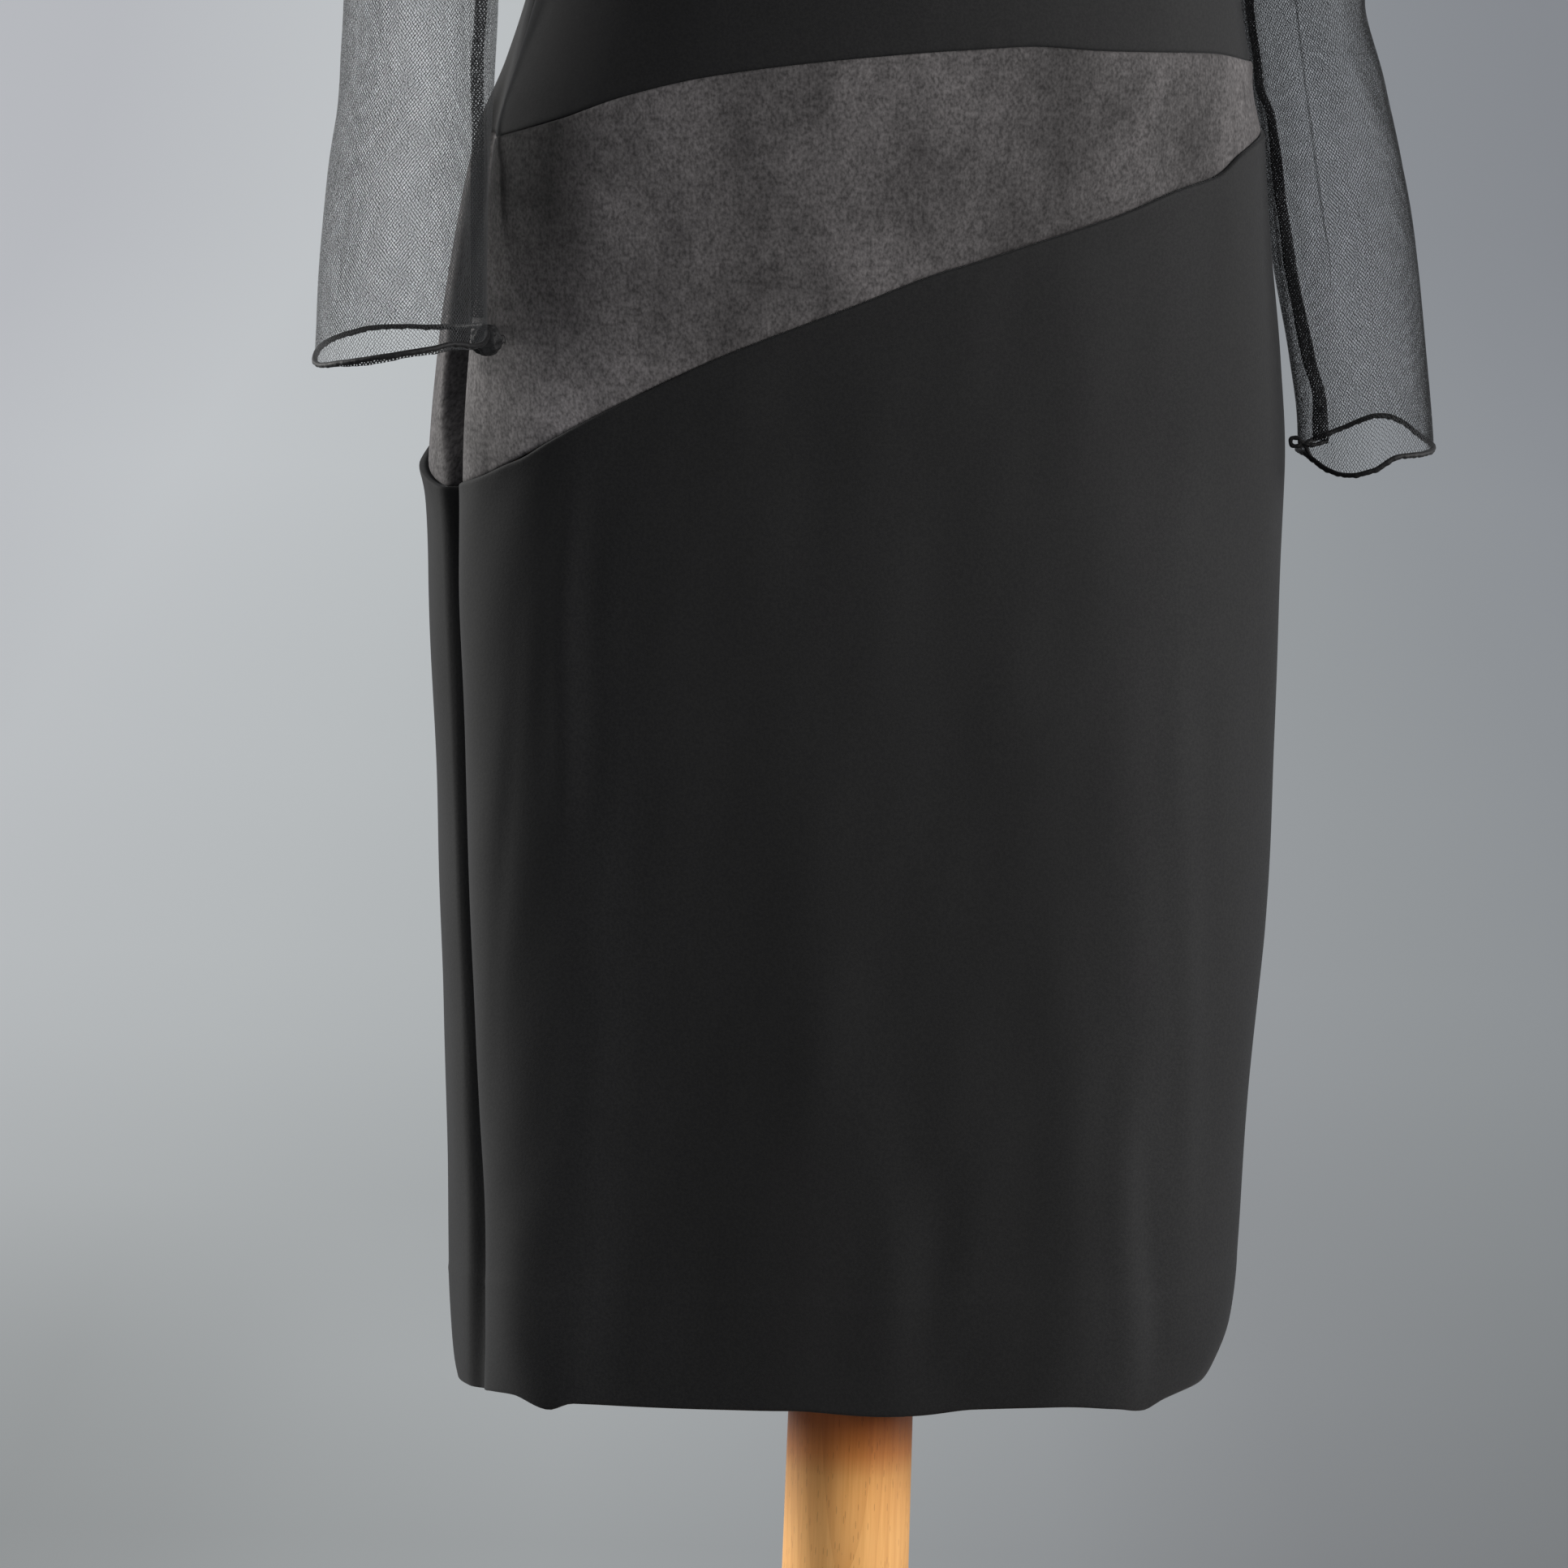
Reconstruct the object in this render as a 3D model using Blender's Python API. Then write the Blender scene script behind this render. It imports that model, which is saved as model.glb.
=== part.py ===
"""Sheath dress with sheer sleeves, on a limbless dress form with a wooden pole and a round base.

Metres, +Z up. The front of the dress faces -Y and the wearer's left side is at +X.
The origin is on the floor, under the pole's axis.
Angles on the body are in degrees: 0 is the centre front, +90 the wearer's left side, 180 the centre back.
"""

import bmesh
import bpy
import numpy as np

for old in list(bpy.data.objects):
    bpy.data.objects.remove(old, do_unlink=True)

# ---------------------------------------------------------------- sizes
CLOTH = 0.0018  # crepe with its lining; the inset band is as thick
SHEER = 0.0012  # sleeve
SEAM = 0.0003  # gap between sewn pieces
PROUD = 0.0005  # the skirt lies over the band's lower seam, with a lip that stands out a little more
LIP, LIP_FADE = 0.0014, 0.014
SIDE_LEFT = 88.0  # angle of the wearer's left side seam
CENTRE_BACK = 180.0
UNDERARM = 1.300  # height where the armholes start
FOLD_FRONT, FOLD_BACK = 0.008, 0.012  # how far the inward fold at a side seam spreads on the front and the back panel
FOLD_LEFT_SHARE = 0.35  # the fold at the wearer's left seam is this share of the right one's depth

BUST_X, BUST_Z, BUST_WIDE, BUST_TALL, BUST_RISE = 0.086, 1.225, 0.055, 0.062, 0.016

SHOULDER_X, SHOULDER_Y, SHOULDER_Z = 0.187, 0.006, 1.436  # shoulder tip
NECK_X, NECK_Y, NECK_Z = 0.060, 0.008, 1.490  # where the form's neck meets the shoulder line
NECK_U = 0.20  # the same point, as a share of the half width
COLLAR_U = 0.335  # the dress's neckline meets the shoulder line here
DIP_FRONT, DIP_BACK = 0.29, 0.13  # how far down the neckline dips, as a share of the way from underarm to neck

FORM_BOTTOM = 0.700
FORM_GAP = 0.0036  # from the cloth's outer face to the form round the bust
FORM_YOKE_GAP = 0.0046  # the same at the shoulders and the upper chest
NECK_RADIUS, NECK_TOP = 0.053, 1.560
CAP_RADIUS, CAP_TALL = 0.0565, 0.024
POLE_RADIUS, POLE_TAPER, POLE_AT = 0.0277, 0.0065, 0.42  # radius at that height, growing downwards
BASE_RADIUS, BASE_TALL, BASE_ROUND = 0.185, 0.030, 0.008
ROLL_RADIUS = 0.0012  # rolled hem of a sleeve


def table(columns, rows):
    return {
        name: np.array([row[k] for row in rows], float)
        for k, name in enumerate(columns.split())
    }


# Sections of the dress. left and right are the half widths at the wearer's right (-X) and left (+X) side,
# front and back reach from the section's centre line y, square is the superellipse's power,
# fold is the depth of the inward fold at the side seam, seam its angle.
SECTIONS = table(
    "z right left front back y square fold seam",
    [
        (0.415, 0.1700, 0.1480, 0.094, 0.092, 0.012, 2.70, 0.004, -88.0),
        (0.425, 0.1710, 0.1530, 0.095, 0.094, 0.012, 2.70, 0.004, -87.5),
        (0.440, 0.1740, 0.1650, 0.096, 0.095, 0.012, 2.70, 0.005, -85.5),
        (0.460, 0.1755, 0.1720, 0.097, 0.097, 0.012, 2.70, 0.006, -84.5),
        (0.500, 0.1775, 0.1755, 0.099, 0.100, 0.013, 2.60, 0.008, -84.0),
        (0.560, 0.1800, 0.1780, 0.101, 0.104, 0.014, 2.50, 0.010, -86.0),
        (0.640, 0.1850, 0.1840, 0.104, 0.109, 0.016, 2.45, 0.012, -87.0),
        (0.720, 0.1900, 0.1855, 0.107, 0.114, 0.018, 2.40, 0.012, -86.5),
        (0.790, 0.1945, 0.1865, 0.109, 0.118, 0.020, 2.35, 0.012, -86.0),
        (0.840, 0.1960, 0.1870, 0.110, 0.120, 0.020, 2.30, 0.012, -85.0),
        (0.890, 0.1940, 0.1830, 0.111, 0.118, 0.018, 2.25, 0.012, -86.0),
        (0.940, 0.1890, 0.1755, 0.111, 0.112, 0.015, 2.20, 0.010, -87.0),
        (0.985, 0.1820, 0.1695, 0.109, 0.105, 0.012, 2.15, 0.007, -89.0),
        (1.015, 0.1710, 0.1620, 0.107, 0.100, 0.010, 2.10, 0.003, -91.0),
        (1.045, 0.1620, 0.1555, 0.104, 0.096, 0.008, 2.10, 0.001, -90.5),
        (1.100, 0.1510, 0.1490, 0.098, 0.088, 0.004, 2.10, 0.000, -89.0),
        (1.160, 0.1560, 0.1555, 0.101, 0.088, 0.001, 2.15, 0.000, -88.0),
        (1.225, 0.1640, 0.1640, 0.107, 0.093, -0.001, 2.25, 0.000, -88.0),
        (1.300, 0.1680, 0.1680, 0.110, 0.098, -0.001, 2.40, 0.000, -88.0),
    ],
)

# Lower edge of the skirt, and the band's lower and upper seams, by angle on the front.
# The back repeats the seams, folded about the side seams.
HEM = table(
    "angle z",
    [
        (-100, 0.4300), (-90, 0.4320), (-78, 0.4362), (-68, 0.4380), (-58, 0.4340), (-51, 0.4380),
        (-30, 0.4388), (-12, 0.4378), (0, 0.4338), (6, 0.4356), (18, 0.4350), (32, 0.4315),
        (42, 0.4282), (47, 0.4318), (58, 0.4345), (75, 0.4360), (95, 0.4355), (135, 0.4330),
        (180, 0.4345), (225, 0.4320), (260, 0.4300),
    ],
)  # fmt: skip
SEAM_LOW = table(
    "angle z",
    [
        (-90, 0.8300), (-84, 0.8325), (-72, 0.8387), (-60, 0.8512), (-45, 0.8722), (-28, 0.8975),
        (-12, 0.9192), (1, 0.9382), (12, 0.9495), (24, 0.9595), (36, 0.9695), (46, 0.9745),
        (55, 0.9830), (68, 0.9885), (90, 0.9920),
    ],
)  # fmt: skip
SEAM_HIGH = table(
    "angle z",
    [
        (-92, 0.9810), (-78, 0.9864), (-64, 0.9948), (-52, 1.0060), (-38, 1.0158), (-17, 1.0249),
        (2, 1.0302), (11, 1.0316), (22, 1.0298), (50, 1.0273), (72, 1.0216), (90, 1.0190),
    ],
)  # fmt: skip

# From the underarm (w = 0) to the shoulder seam (w = 1): half is where the armhole edge stands from
# the centre, edge and middle are y there and on the centre line, and climb is the share of the height.
CHEST = table(
    "w half edge middle climb_edge climb_middle",
    [
        (0.07, 0.1670, -0.015, -0.109, 0.015, 0.066),
        (0.15, 0.1645, -0.030, -0.106, 0.05, 0.14),
        (0.30, 0.1570, -0.051, -0.102, 0.18, 0.29),
        (0.50, 0.1515, -0.061, -0.092, 0.42, 0.49),
        (0.68, 0.1560, -0.057, -0.081, 0.66, 0.67),
        (0.85, 0.1700, -0.038, -0.067, 0.86, 0.85),
        (1.00, SHOULDER_X, SHOULDER_Y, -0.050, 1.0, 1.0),
    ],
)
SHOULDERS = table(
    "w half edge middle climb_edge climb_middle",
    [
        (0.07, 0.1672, 0.018, 0.098, 0.015, 0.066),
        (0.15, 0.1652, 0.032, 0.098, 0.05, 0.14),
        (0.30, 0.1605, 0.053, 0.098, 0.18, 0.29),
        (0.50, 0.1580, 0.064, 0.094, 0.42, 0.49),
        (0.68, 0.1640, 0.061, 0.085, 0.66, 0.67),
        (0.85, 0.1750, 0.046, 0.070, 0.86, 0.85),
        (1.00, SHOULDER_X, SHOULDER_Y, 0.050, 1.0, 1.0),
    ],
)
NECK_FRONT_Z, NECK_BACK_Z = 1.440, 1.474  # the form's neck line at the centre front and back

# Sleeve sections: x from the middle, y, half width and half depth at that height.
SLEEVE_RIGHT = table(
    "z x y wide deep",
    [
        (0.8900, -0.2283, -0.038, 0.0367, 0.040),
        (0.9300, -0.2238, -0.020, 0.0358, 0.042),
        (0.9700, -0.2195, -0.009, 0.0339, 0.044),
        (1.0100, -0.2136, 0.003, 0.0322, 0.045),
        (1.0500, -0.2116, 0.008, 0.0319, 0.046),
        (1.1200, -0.2120, 0.013, 0.0350, 0.048),
        (1.1900, -0.2145, 0.016, 0.0405, 0.051),
        (1.2400, -0.2165, 0.016, 0.0435, 0.054),
    ],
)
SLEEVE_LEFT = table(
    "z x y wide deep",
    [
        (0.8400, 0.2262, 0.001, 0.0287, 0.041),
        (0.8600, 0.2249, 0.002, 0.0285, 0.041),
        (0.8900, 0.2209, 0.004, 0.0291, 0.042),
        (0.9300, 0.2158, 0.008, 0.0297, 0.043),
        (0.9700, 0.2096, 0.010, 0.0285, 0.044),
        (1.0100, 0.2008, 0.012, 0.0261, 0.045),
        (1.0500, 0.1919, 0.012, 0.0229, 0.046),
        (1.1200, 0.1950, 0.014, 0.0285, 0.048),
        (1.1900, 0.2075, 0.016, 0.0380, 0.051),
        (1.2400, 0.2150, 0.016, 0.0435, 0.054),
    ],
)
# Height of the cuffs round the sleeve, from the inner side (0) over the front (90) and the outer side (180).
CUFFS = table(
    "angle right left",
    [
        (0, 0.9045, 0.8460), (45, 0.8990, 0.8395), (68, 0.9005, 0.8425), (90, 0.8985, 0.8490),
        (135, 0.8930, 0.8502), (180, 0.8885, 0.8520), (225, 0.8945, 0.8595), (270, 0.8995, 0.8510),
        (315, 0.9010, 0.8460), (360, 0.9045, 0.8460),
    ],
)  # fmt: skip

COLOURS = {
    "crepe": ((0.014, 0.014, 0.015), 0.85),
    "band": ((0.060, 0.056, 0.058), 0.60),
    "sheer": ((0.030, 0.031, 0.034), 0.80),
    "roll": ((0.010, 0.010, 0.012), 0.80),
    "cover": ((0.62, 0.57, 0.49), 0.90),
    "beech": ((0.71, 0.46, 0.24), 0.45),
}


def smooth(xs, ys, at):
    """A monotone cubic through the rows of a table: it adds no bump between them."""
    h = np.diff(xs)
    d = np.diff(ys) / h
    m = np.zeros(len(xs))
    m[0], m[-1] = d[0], d[-1]
    for k in range(1, len(xs) - 1):
        if d[k - 1] * d[k] > 0:
            a, b = 2 * h[k] + h[k - 1], h[k] + 2 * h[k - 1]
            m[k] = (a + b) / (a / d[k - 1] + b / d[k])
    at = np.clip(at, xs[0], xs[-1])
    k = np.clip(np.searchsorted(xs, at) - 1, 0, len(xs) - 2)
    s = (at - xs[k]) / h[k]
    return (
        (2 * s**3 - 3 * s**2 + 1) * ys[k]
        + (s**3 - 2 * s**2 + s) * h[k] * m[k]
        + (3 * s**2 - 2 * s**3) * ys[k + 1]
        + (s**3 - s**2) * h[k] * m[k + 1]
    )


def power(value, p):
    return np.sign(value) * np.abs(value) ** p


# ---------------------------------------------------------------- the body's surface
def section(t, z, inset=None):
    """Smooth section of the dress, without the folds at its seams. With an inset it is the form's."""
    t, z = np.broadcast_arrays(np.asarray(t, float), np.asarray(z, float))
    s, c = np.sin(np.radians(t)), np.cos(np.radians(t))

    def at(name):
        return smooth(SECTIONS["z"], SECTIONS[name], z)

    right, left, front, back, square = (
        at(n) for n in ("right", "left", "front", "back", "square")
    )
    if inset is not None:
        right = left = (right + left) / 2 - inset
        front, back = front - inset, back - inset
        square = np.minimum(square, 2.3)
        square = np.where(z > UNDERARM - 1e-6, at("square"), square)
    x = np.where(s < 0, right, left) * power(s, 2 / square)
    y = at("y") - np.where(c > 0, front, back) * power(c, 2 / square)
    bust = np.exp(
        -(((np.abs(x) - BUST_X) / BUST_WIDE) ** 2) - ((z - BUST_Z) / BUST_TALL) ** 2
    )
    y = y - BUST_RISE * bust * np.clip(c, 0, 1) ** 0.5
    return np.stack([x, y, z], -1)


def outwards(t, z):
    """Horizontal normal of the smooth section."""
    d = section(t + 0.4, z) - section(t - 0.4, z)
    n = np.stack([-d[..., 1], d[..., 0], np.zeros(d.shape[:-1])], -1)
    n = -n / np.linalg.norm(n, axis=-1, keepdims=True)
    return n


def side_right(z):
    return smooth(SECTIONS["z"], SECTIONS["seam"], z)


def body(t, z, stand=0.0):
    """Outer face of the dress below the underarm, folded in at both side seams."""
    t, z = np.broadcast_arrays(np.asarray(t, float), np.asarray(z, float))
    turn = (t + 180) % 360 - 180
    p, n = section(t, z), outwards(t, z)
    deep = smooth(SECTIONS["z"], SECTIONS["fold"], z)
    pull = np.zeros(t.shape)
    for seam, share in ((side_right(z), 1.0), (SIDE_LEFT, FOLD_LEFT_SHARE)):
        gap = np.linalg.norm(p - section(seam, z), axis=-1)
        on_front = np.abs(turn) < np.abs(seam)
        reach = np.where(on_front, FOLD_FRONT, FOLD_BACK)
        near = np.abs(turn - seam) < 60
        pull += np.where(near, share * deep * np.exp(-gap / reach), 0)
    return p + n * (np.asarray(stand) - pull)[..., None]


def folded(t):
    """The angle on the front that faces an angle on the back."""
    turn = (np.asarray(t, float) + 180) % 360 - 180
    return np.where(np.abs(turn) > 90, np.sign(turn) * (180 - np.abs(turn)), turn)


def seam_low(t):
    return smooth(SEAM_LOW["angle"], SEAM_LOW["z"], folded(t))


def seam_high(t):
    return smooth(SEAM_HIGH["angle"], SEAM_HIGH["z"], folded(t))


def hem(t):
    turn = np.asarray(t, float)
    return smooth(
        HEM["angle"], HEM["z"], np.where(turn > 260, turn - 360, turn)
    )


def yoke(t, w, front, inset=0.0):
    """Surface from the underarm's section up to the shoulder seam and the form's neck line."""
    t, w = np.broadcast_arrays(np.asarray(t, float), np.asarray(w, float))
    rows = CHEST if front else SHOULDERS
    middle = 0.0 if front else 180.0
    reach = SIDE_LEFT if front else 180.0 - SIDE_LEFT
    u = np.clip(np.abs(t - middle) / reach, 0, 1)
    if inset:
        ring = section(t, UNDERARM, inset)
        corner = section(SIDE_LEFT, UNDERARM, inset)
        centre = section(middle, UNDERARM, inset)
    else:
        ring, corner, centre = (
            body(a, UNDERARM) for a in (t, SIDE_LEFT, middle)
        )

    def at(name, start, grow=0.0):
        return smooth(np.append(0.0, rows["w"]), np.append(start, rows[name] + grow), w)

    sign = -1 if front else 1
    sink = inset * (1 + 1.1 * (1 - u) * w)  # the form falls away a little more towards its neck
    half = at("half", corner[0], -inset)
    edge = at("edge", corner[1])
    mid = at("middle", centre[1] + sign * inset) - sign * sink
    a = np.radians(90) * np.clip(u / NECK_U, 0, 1)
    past = np.clip((u - NECK_U) / (1 - NECK_U), 0, 1)
    neck = u < NECK_U
    top_x = np.where(neck, NECK_X * np.sin(a), NECK_X + (SHOULDER_X - NECK_X) * past)
    neck_z = NECK_FRONT_Z if front else NECK_BACK_Z
    top_z = np.where(
        neck,
        NECK_Z - (NECK_Z - neck_z) * np.cos(a),
        NECK_Z + (SHOULDER_Z - NECK_Z) * past,
    )
    last = rows["middle"][-1] - sign * sink
    top_y = np.where(
        neck,
        NECK_Y + (last - NECK_Y) * np.cos(a),
        NECK_Y + (SHOULDER_Y - NECK_Y) * past,
    )
    flat0 = (ring[..., 1] - corner[1]) / (centre[1] - corner[1])
    flat1 = (top_y - SHOULDER_Y) / (last - SHOULDER_Y)
    wide0, wide1 = np.abs(ring[..., 0]) / corner[0], top_x / SHOULDER_X
    late = w**2.6
    flat = flat0 * (1 - late) + flat1 * late
    wide = wide0 * (1 - w**1.6) + wide1 * w**1.6
    climb = at("climb_edge", 0.0) * u**3 + at("climb_middle", 0.0) * (1 - u**3)
    x = half * wide * np.where((t - middle) * (1 if front else -1) < 0, -1, 1)
    y = edge + (mid - edge) * flat
    z = UNDERARM + (top_z - sink - UNDERARM) * climb
    return np.stack([x, y, z], -1)


# ---------------------------------------------------------------- turning grids of points into walls
def normals(grid, round_columns=False):
    """Normals of a grid of points (rows upwards, columns towards +angle), facing out."""
    if round_columns:
        wide = np.roll(grid, -1, 1) - np.roll(grid, 1, 1)
    else:
        wide = np.gradient(grid, axis=1)
    tall = np.gradient(grid, axis=0)
    n = np.cross(wide, tall)
    return n / np.maximum(np.linalg.norm(n, axis=-1, keepdims=True), 1e-12)


def trim(outer, inner, gap=SEAM / 2, top=True, bottom=True, sides=True):
    """Pulls a wall's edges back by half a seam's gap."""

    def pull(edge, beside):
        d = outer[beside] - outer[edge]
        d = d / np.linalg.norm(d, axis=-1, keepdims=True) * gap
        return d

    for wanted, edge, beside in (
        (bottom, np.s_[0], np.s_[1]),
        (top, np.s_[-1], np.s_[-2]),
        (sides, np.s_[:, 0], np.s_[:, 1]),
        (sides, np.s_[:, -1], np.s_[:, -2]),
    ):
        if wanted:
            d = pull(edge, beside)
            outer[edge] += d
            inner[edge] += d


def finish(name, mesh, colour, smooth_at=40):
    """A mesh object with its own material."""
    obj = bpy.data.objects.new(name, mesh)
    bpy.context.scene.collection.objects.link(obj)
    rgb, rough = COLOURS[colour]
    material = bpy.data.materials.new(name)
    material.use_nodes = True
    shader = material.node_tree.nodes["Principled BSDF"]
    shader.inputs["Base Color"].default_value = (*rgb, 1)
    shader.inputs["Roughness"].default_value = rough
    shader.inputs["Metallic"].default_value = 0
    mesh.materials.append(material)
    mesh.shade_smooth()
    mesh.set_sharp_from_angle(angle=np.radians(smooth_at))
    return obj


def wall(name, outer, inner, colour, tube=False):
    """A closed wall between two grids of points. A tube's columns close on themselves."""
    rows, columns = outer.shape[:2]
    bm = bmesh.new()
    out = [[bm.verts.new(p) for p in row] for row in outer]
    inn = [[bm.verts.new(p) for p in row] for row in inner]
    last = columns if tube else columns - 1
    for j in range(rows - 1):
        for i in range(last):
            k = (i + 1) % columns
            bm.faces.new((out[j][i], out[j][k], out[j + 1][k], out[j + 1][i]))
            bm.faces.new((inn[j][i], inn[j + 1][i], inn[j + 1][k], inn[j][k]))
    for i in range(last):
        k = (i + 1) % columns
        bm.faces.new((out[0][i], inn[0][i], inn[0][k], out[0][k]))
        bm.faces.new((out[-1][i], out[-1][k], inn[-1][k], inn[-1][i]))
    if not tube:
        for j in range(rows - 1):
            bm.faces.new((out[j][0], out[j + 1][0], inn[j + 1][0], inn[j][0]))
            bm.faces.new((out[j][-1], inn[j][-1], inn[j + 1][-1], out[j + 1][-1]))
    bmesh.ops.recalc_face_normals(bm, faces=bm.faces)
    mesh = bpy.data.meshes.new(name)
    bm.to_mesh(mesh)
    bm.free()
    return finish(name, mesh, colour)


# ---------------------------------------------------------------- columns and rows of the panels
EDGE_SHARES = [0.0, 0.014, 0.034, 0.064, 0.105]  # closer columns beside a side seam, as shares of the panel's width


def even_turns(first, last, shares):
    """Angles that lie at these shares of the way round the hip's section."""
    t = np.linspace(first, last, 801)
    p = section(t, 0.72)
    way = np.append(0, np.cumsum(np.linalg.norm(np.diff(p, axis=0), axis=1)))
    return np.interp(np.asarray(shares) * way[-1], way, t)


FRONT_SHARES = np.array(
    EDGE_SHARES
    + list(np.linspace(0.105, 0.895, 17)[1:-1])
    + [1 - s for s in reversed(EDGE_SHARES)]
)
BACK_SHARES = np.array(
    [2 * s for s in EDGE_SHARES[:-1]] + list(np.linspace(0.21, 1.0, 9))
)
FRONT_TURNS = even_turns(-SIDE_LEFT, SIDE_LEFT, FRONT_SHARES)
LEFT_TURNS = even_turns(SIDE_LEFT, CENTRE_BACK, BACK_SHARES)
RIGHT_TURNS = 360 - LEFT_TURNS[::-1]


def swing(turns, z):
    """Moves the columns beside the wearer's right side seam with that seam."""
    t = np.broadcast_to(turns, np.shape(z)).copy()
    shift = side_right(z) + SIDE_LEFT
    turn = (t + 180) % 360 - 180
    share = np.clip((-turn - 30) / (SIDE_LEFT - 30), 0, None)
    share = np.where(share > 1, np.clip((180 + turn) / (180 - SIDE_LEFT), 0, 1), share)
    return t + shift * share


def rows_between(low, high, turns, shares):
    shares = np.asarray(shares)[:, None]
    z = low(turns)[None] * (1 - shares) + high(turns)[None] * shares
    for _ in range(3):  # the seams' heights are read at the swung angles
        t = swing(turns, z)
        z = low(t) * (1 - shares) + high(t) * shares
    return swing(turns, z), z


def underarm(t):
    return np.full(np.shape(t), UNDERARM)


SKIRT_ROWS = [0, 0.018, 0.045, 0.09, 0.17, 0.29, 0.42, 0.55, 0.68, 0.80, 0.90, 0.965, 1]
BAND_ROWS = [0, 0.25, 0.5, 0.75, 1]
BODICE_ROWS = [0, 0.12, 0.27, 0.43, 0.58, 0.725, 0.86, 1]
YOKE_ROWS = [0.07, 0.17, 0.30, 0.45, 0.60, 0.75, 0.88, 1.0]


def neckline(t, front):
    """How far up the yoke's surface the dress reaches: to the shoulder seam, and less within the neckline."""
    middle, reach = (0.0, SIDE_LEFT) if front else (180.0, 180.0 - SIDE_LEFT)
    u = np.abs(np.asarray(t) - middle) / reach
    inside = np.clip(u / COLLAR_U, 0, 1)
    return 1 - (DIP_FRONT if front else DIP_BACK) * (1 - inside**1.6)


def skirt_grid(turns):
    t, z = rows_between(hem, seam_low, turns, SKIRT_ROWS)
    stand = PROUD + LIP * np.exp(-(seam_low(t) - z) / LIP_FADE)
    return body(t, z, stand), body(t, z)


def band_grid(turns):
    t, z = rows_between(seam_low, seam_high, turns, BAND_ROWS)
    return body(t, z)


def bodice_grid(turns, front):
    t, z = rows_between(seam_high, underarm, turns, BODICE_ROWS)
    low = body(t, z)
    w = np.array(YOKE_ROWS)[:, None] * neckline(turns, front)[None]
    return np.vstack([low, yoke(turns[None], w, front)])


# Neighbours share their seams' points, so the walls' edges there have one common normal.
grids = {}
for side, turns in (("front", FRONT_TURNS), ("back_left", LEFT_TURNS), ("back_right", RIGHT_TURNS)):
    grids["bodice_" + side] = bodice_grid(turns, side == "front")
    grids["band_" + side] = band_grid(turns)
    grids["skirt_" + side], grids["under_" + side] = skirt_grid(turns)
faces_out = {name: normals(grid) for name, grid in grids.items()}
shared = {}
for name, grid in grids.items():
    for j, i in np.ndindex(grid.shape[:2]):
        if j in (0, grid.shape[0] - 1) or i in (0, grid.shape[1] - 1):
            key = tuple(np.round(grid[j, i] / 2e-5).astype(int))
            shared.setdefault(key, []).append((name, j, i))
for members in shared.values():
    mean = sum(faces_out[name][j, i] for name, j, i in members)
    mean = mean / np.linalg.norm(mean)
    for name, j, i in members:
        faces_out[name][j, i] = mean
# Along the shoulder seams both panels stand on a plane across the seam.
ridge = np.array((NECK_Z - SHOULDER_Z, 0, SHOULDER_X - NECK_X))
ridge = ridge / np.linalg.norm(ridge)
for name in ("bodice_front", "bodice_back_left", "bodice_back_right"):
    top = grids[name][-1]
    seamed = np.abs(top[:, 0]) > NECK_X + (SHOULDER_X - NECK_X) * 0.12
    side = np.sign(top[seamed, 0])[:, None]
    faces_out[name][-1, seamed] = ridge * np.hstack([side, side, side**2])

for side in ("front", "back_left", "back_right"):
    for part, colour in (("bodice", "crepe"), ("band", "band"), ("skirt", "crepe")):
        name = f"{part}_{side}"
        outer = grids[name].copy()
        facing = faces_out["under_" + side] if part == "skirt" else faces_out[name]
        inner = outer - CLOTH * facing
        trim(outer, inner, bottom=part != "skirt", sides=True)
        wall(name, outer, inner, colour)


# ---------------------------------------------------------------- sleeves
def armhole(side):
    """Edge points of an armhole, from the underarm over the front to the shoulder and down the back,
    with the normal there and the direction that leads away from the bodice."""
    column = -1 if side == "left" else 0
    back, back_column = ("back_left", 0) if side == "left" else ("back_right", -1)
    first = len(BODICE_ROWS) - 1
    points, facing, away = [], [], []
    for name, i in (("bodice_front", column), ("bodice_" + back, back_column)):
        beside = i + 1 if i == 0 else i - 1
        p = grids[name][first:, i]
        n = faces_out[name][first:, i]
        d = p - grids[name][first:, beside]
        d = d / np.linalg.norm(d, axis=1, keepdims=True)
        points.append(p)
        facing.append(n)
        away.append(d)
    ring = np.vstack([points[0], points[1][-2:0:-1]])
    face = np.vstack([facing[0], facing[1][-2:0:-1]])
    lead = np.vstack([away[0], away[1][-2:0:-1]])
    # At right angles to the edge and within the cloth.
    along = np.roll(ring, -1, 0) - np.roll(ring, 1, 0)
    across = np.cross(along, face)
    across *= np.sign((across * lead).sum(1))[:, None]
    across[0] = (0, 0, 1)
    across /= np.linalg.norm(across, axis=1, keepdims=True)
    return ring, face, across


SLEEVE_HEAD = [0.12, 0.28, 0.46, 0.64, 0.82]  # shares of the way from the armhole to the upper arm
SLEEVE_DOWN = [0, 0.09, 0.20, 0.33, 0.47, 0.60, 0.72, 0.83, 0.92, 0.98, 1.0]


def sleeve_ring(rows, angle, z, side):
    """A section of the sleeve. Angle 0 faces the body, 90 the front and 180 outwards."""
    out = 1 if side == "left" else -1
    a = np.radians(angle)
    x = smooth(rows["z"], rows["x"], z) - out * smooth(rows["z"], rows["wide"], z) * np.cos(a)
    y = smooth(rows["z"], rows["y"], z) - smooth(rows["z"], rows["deep"], z) * np.sin(a)
    return np.stack([x, y, z], -1)


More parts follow.
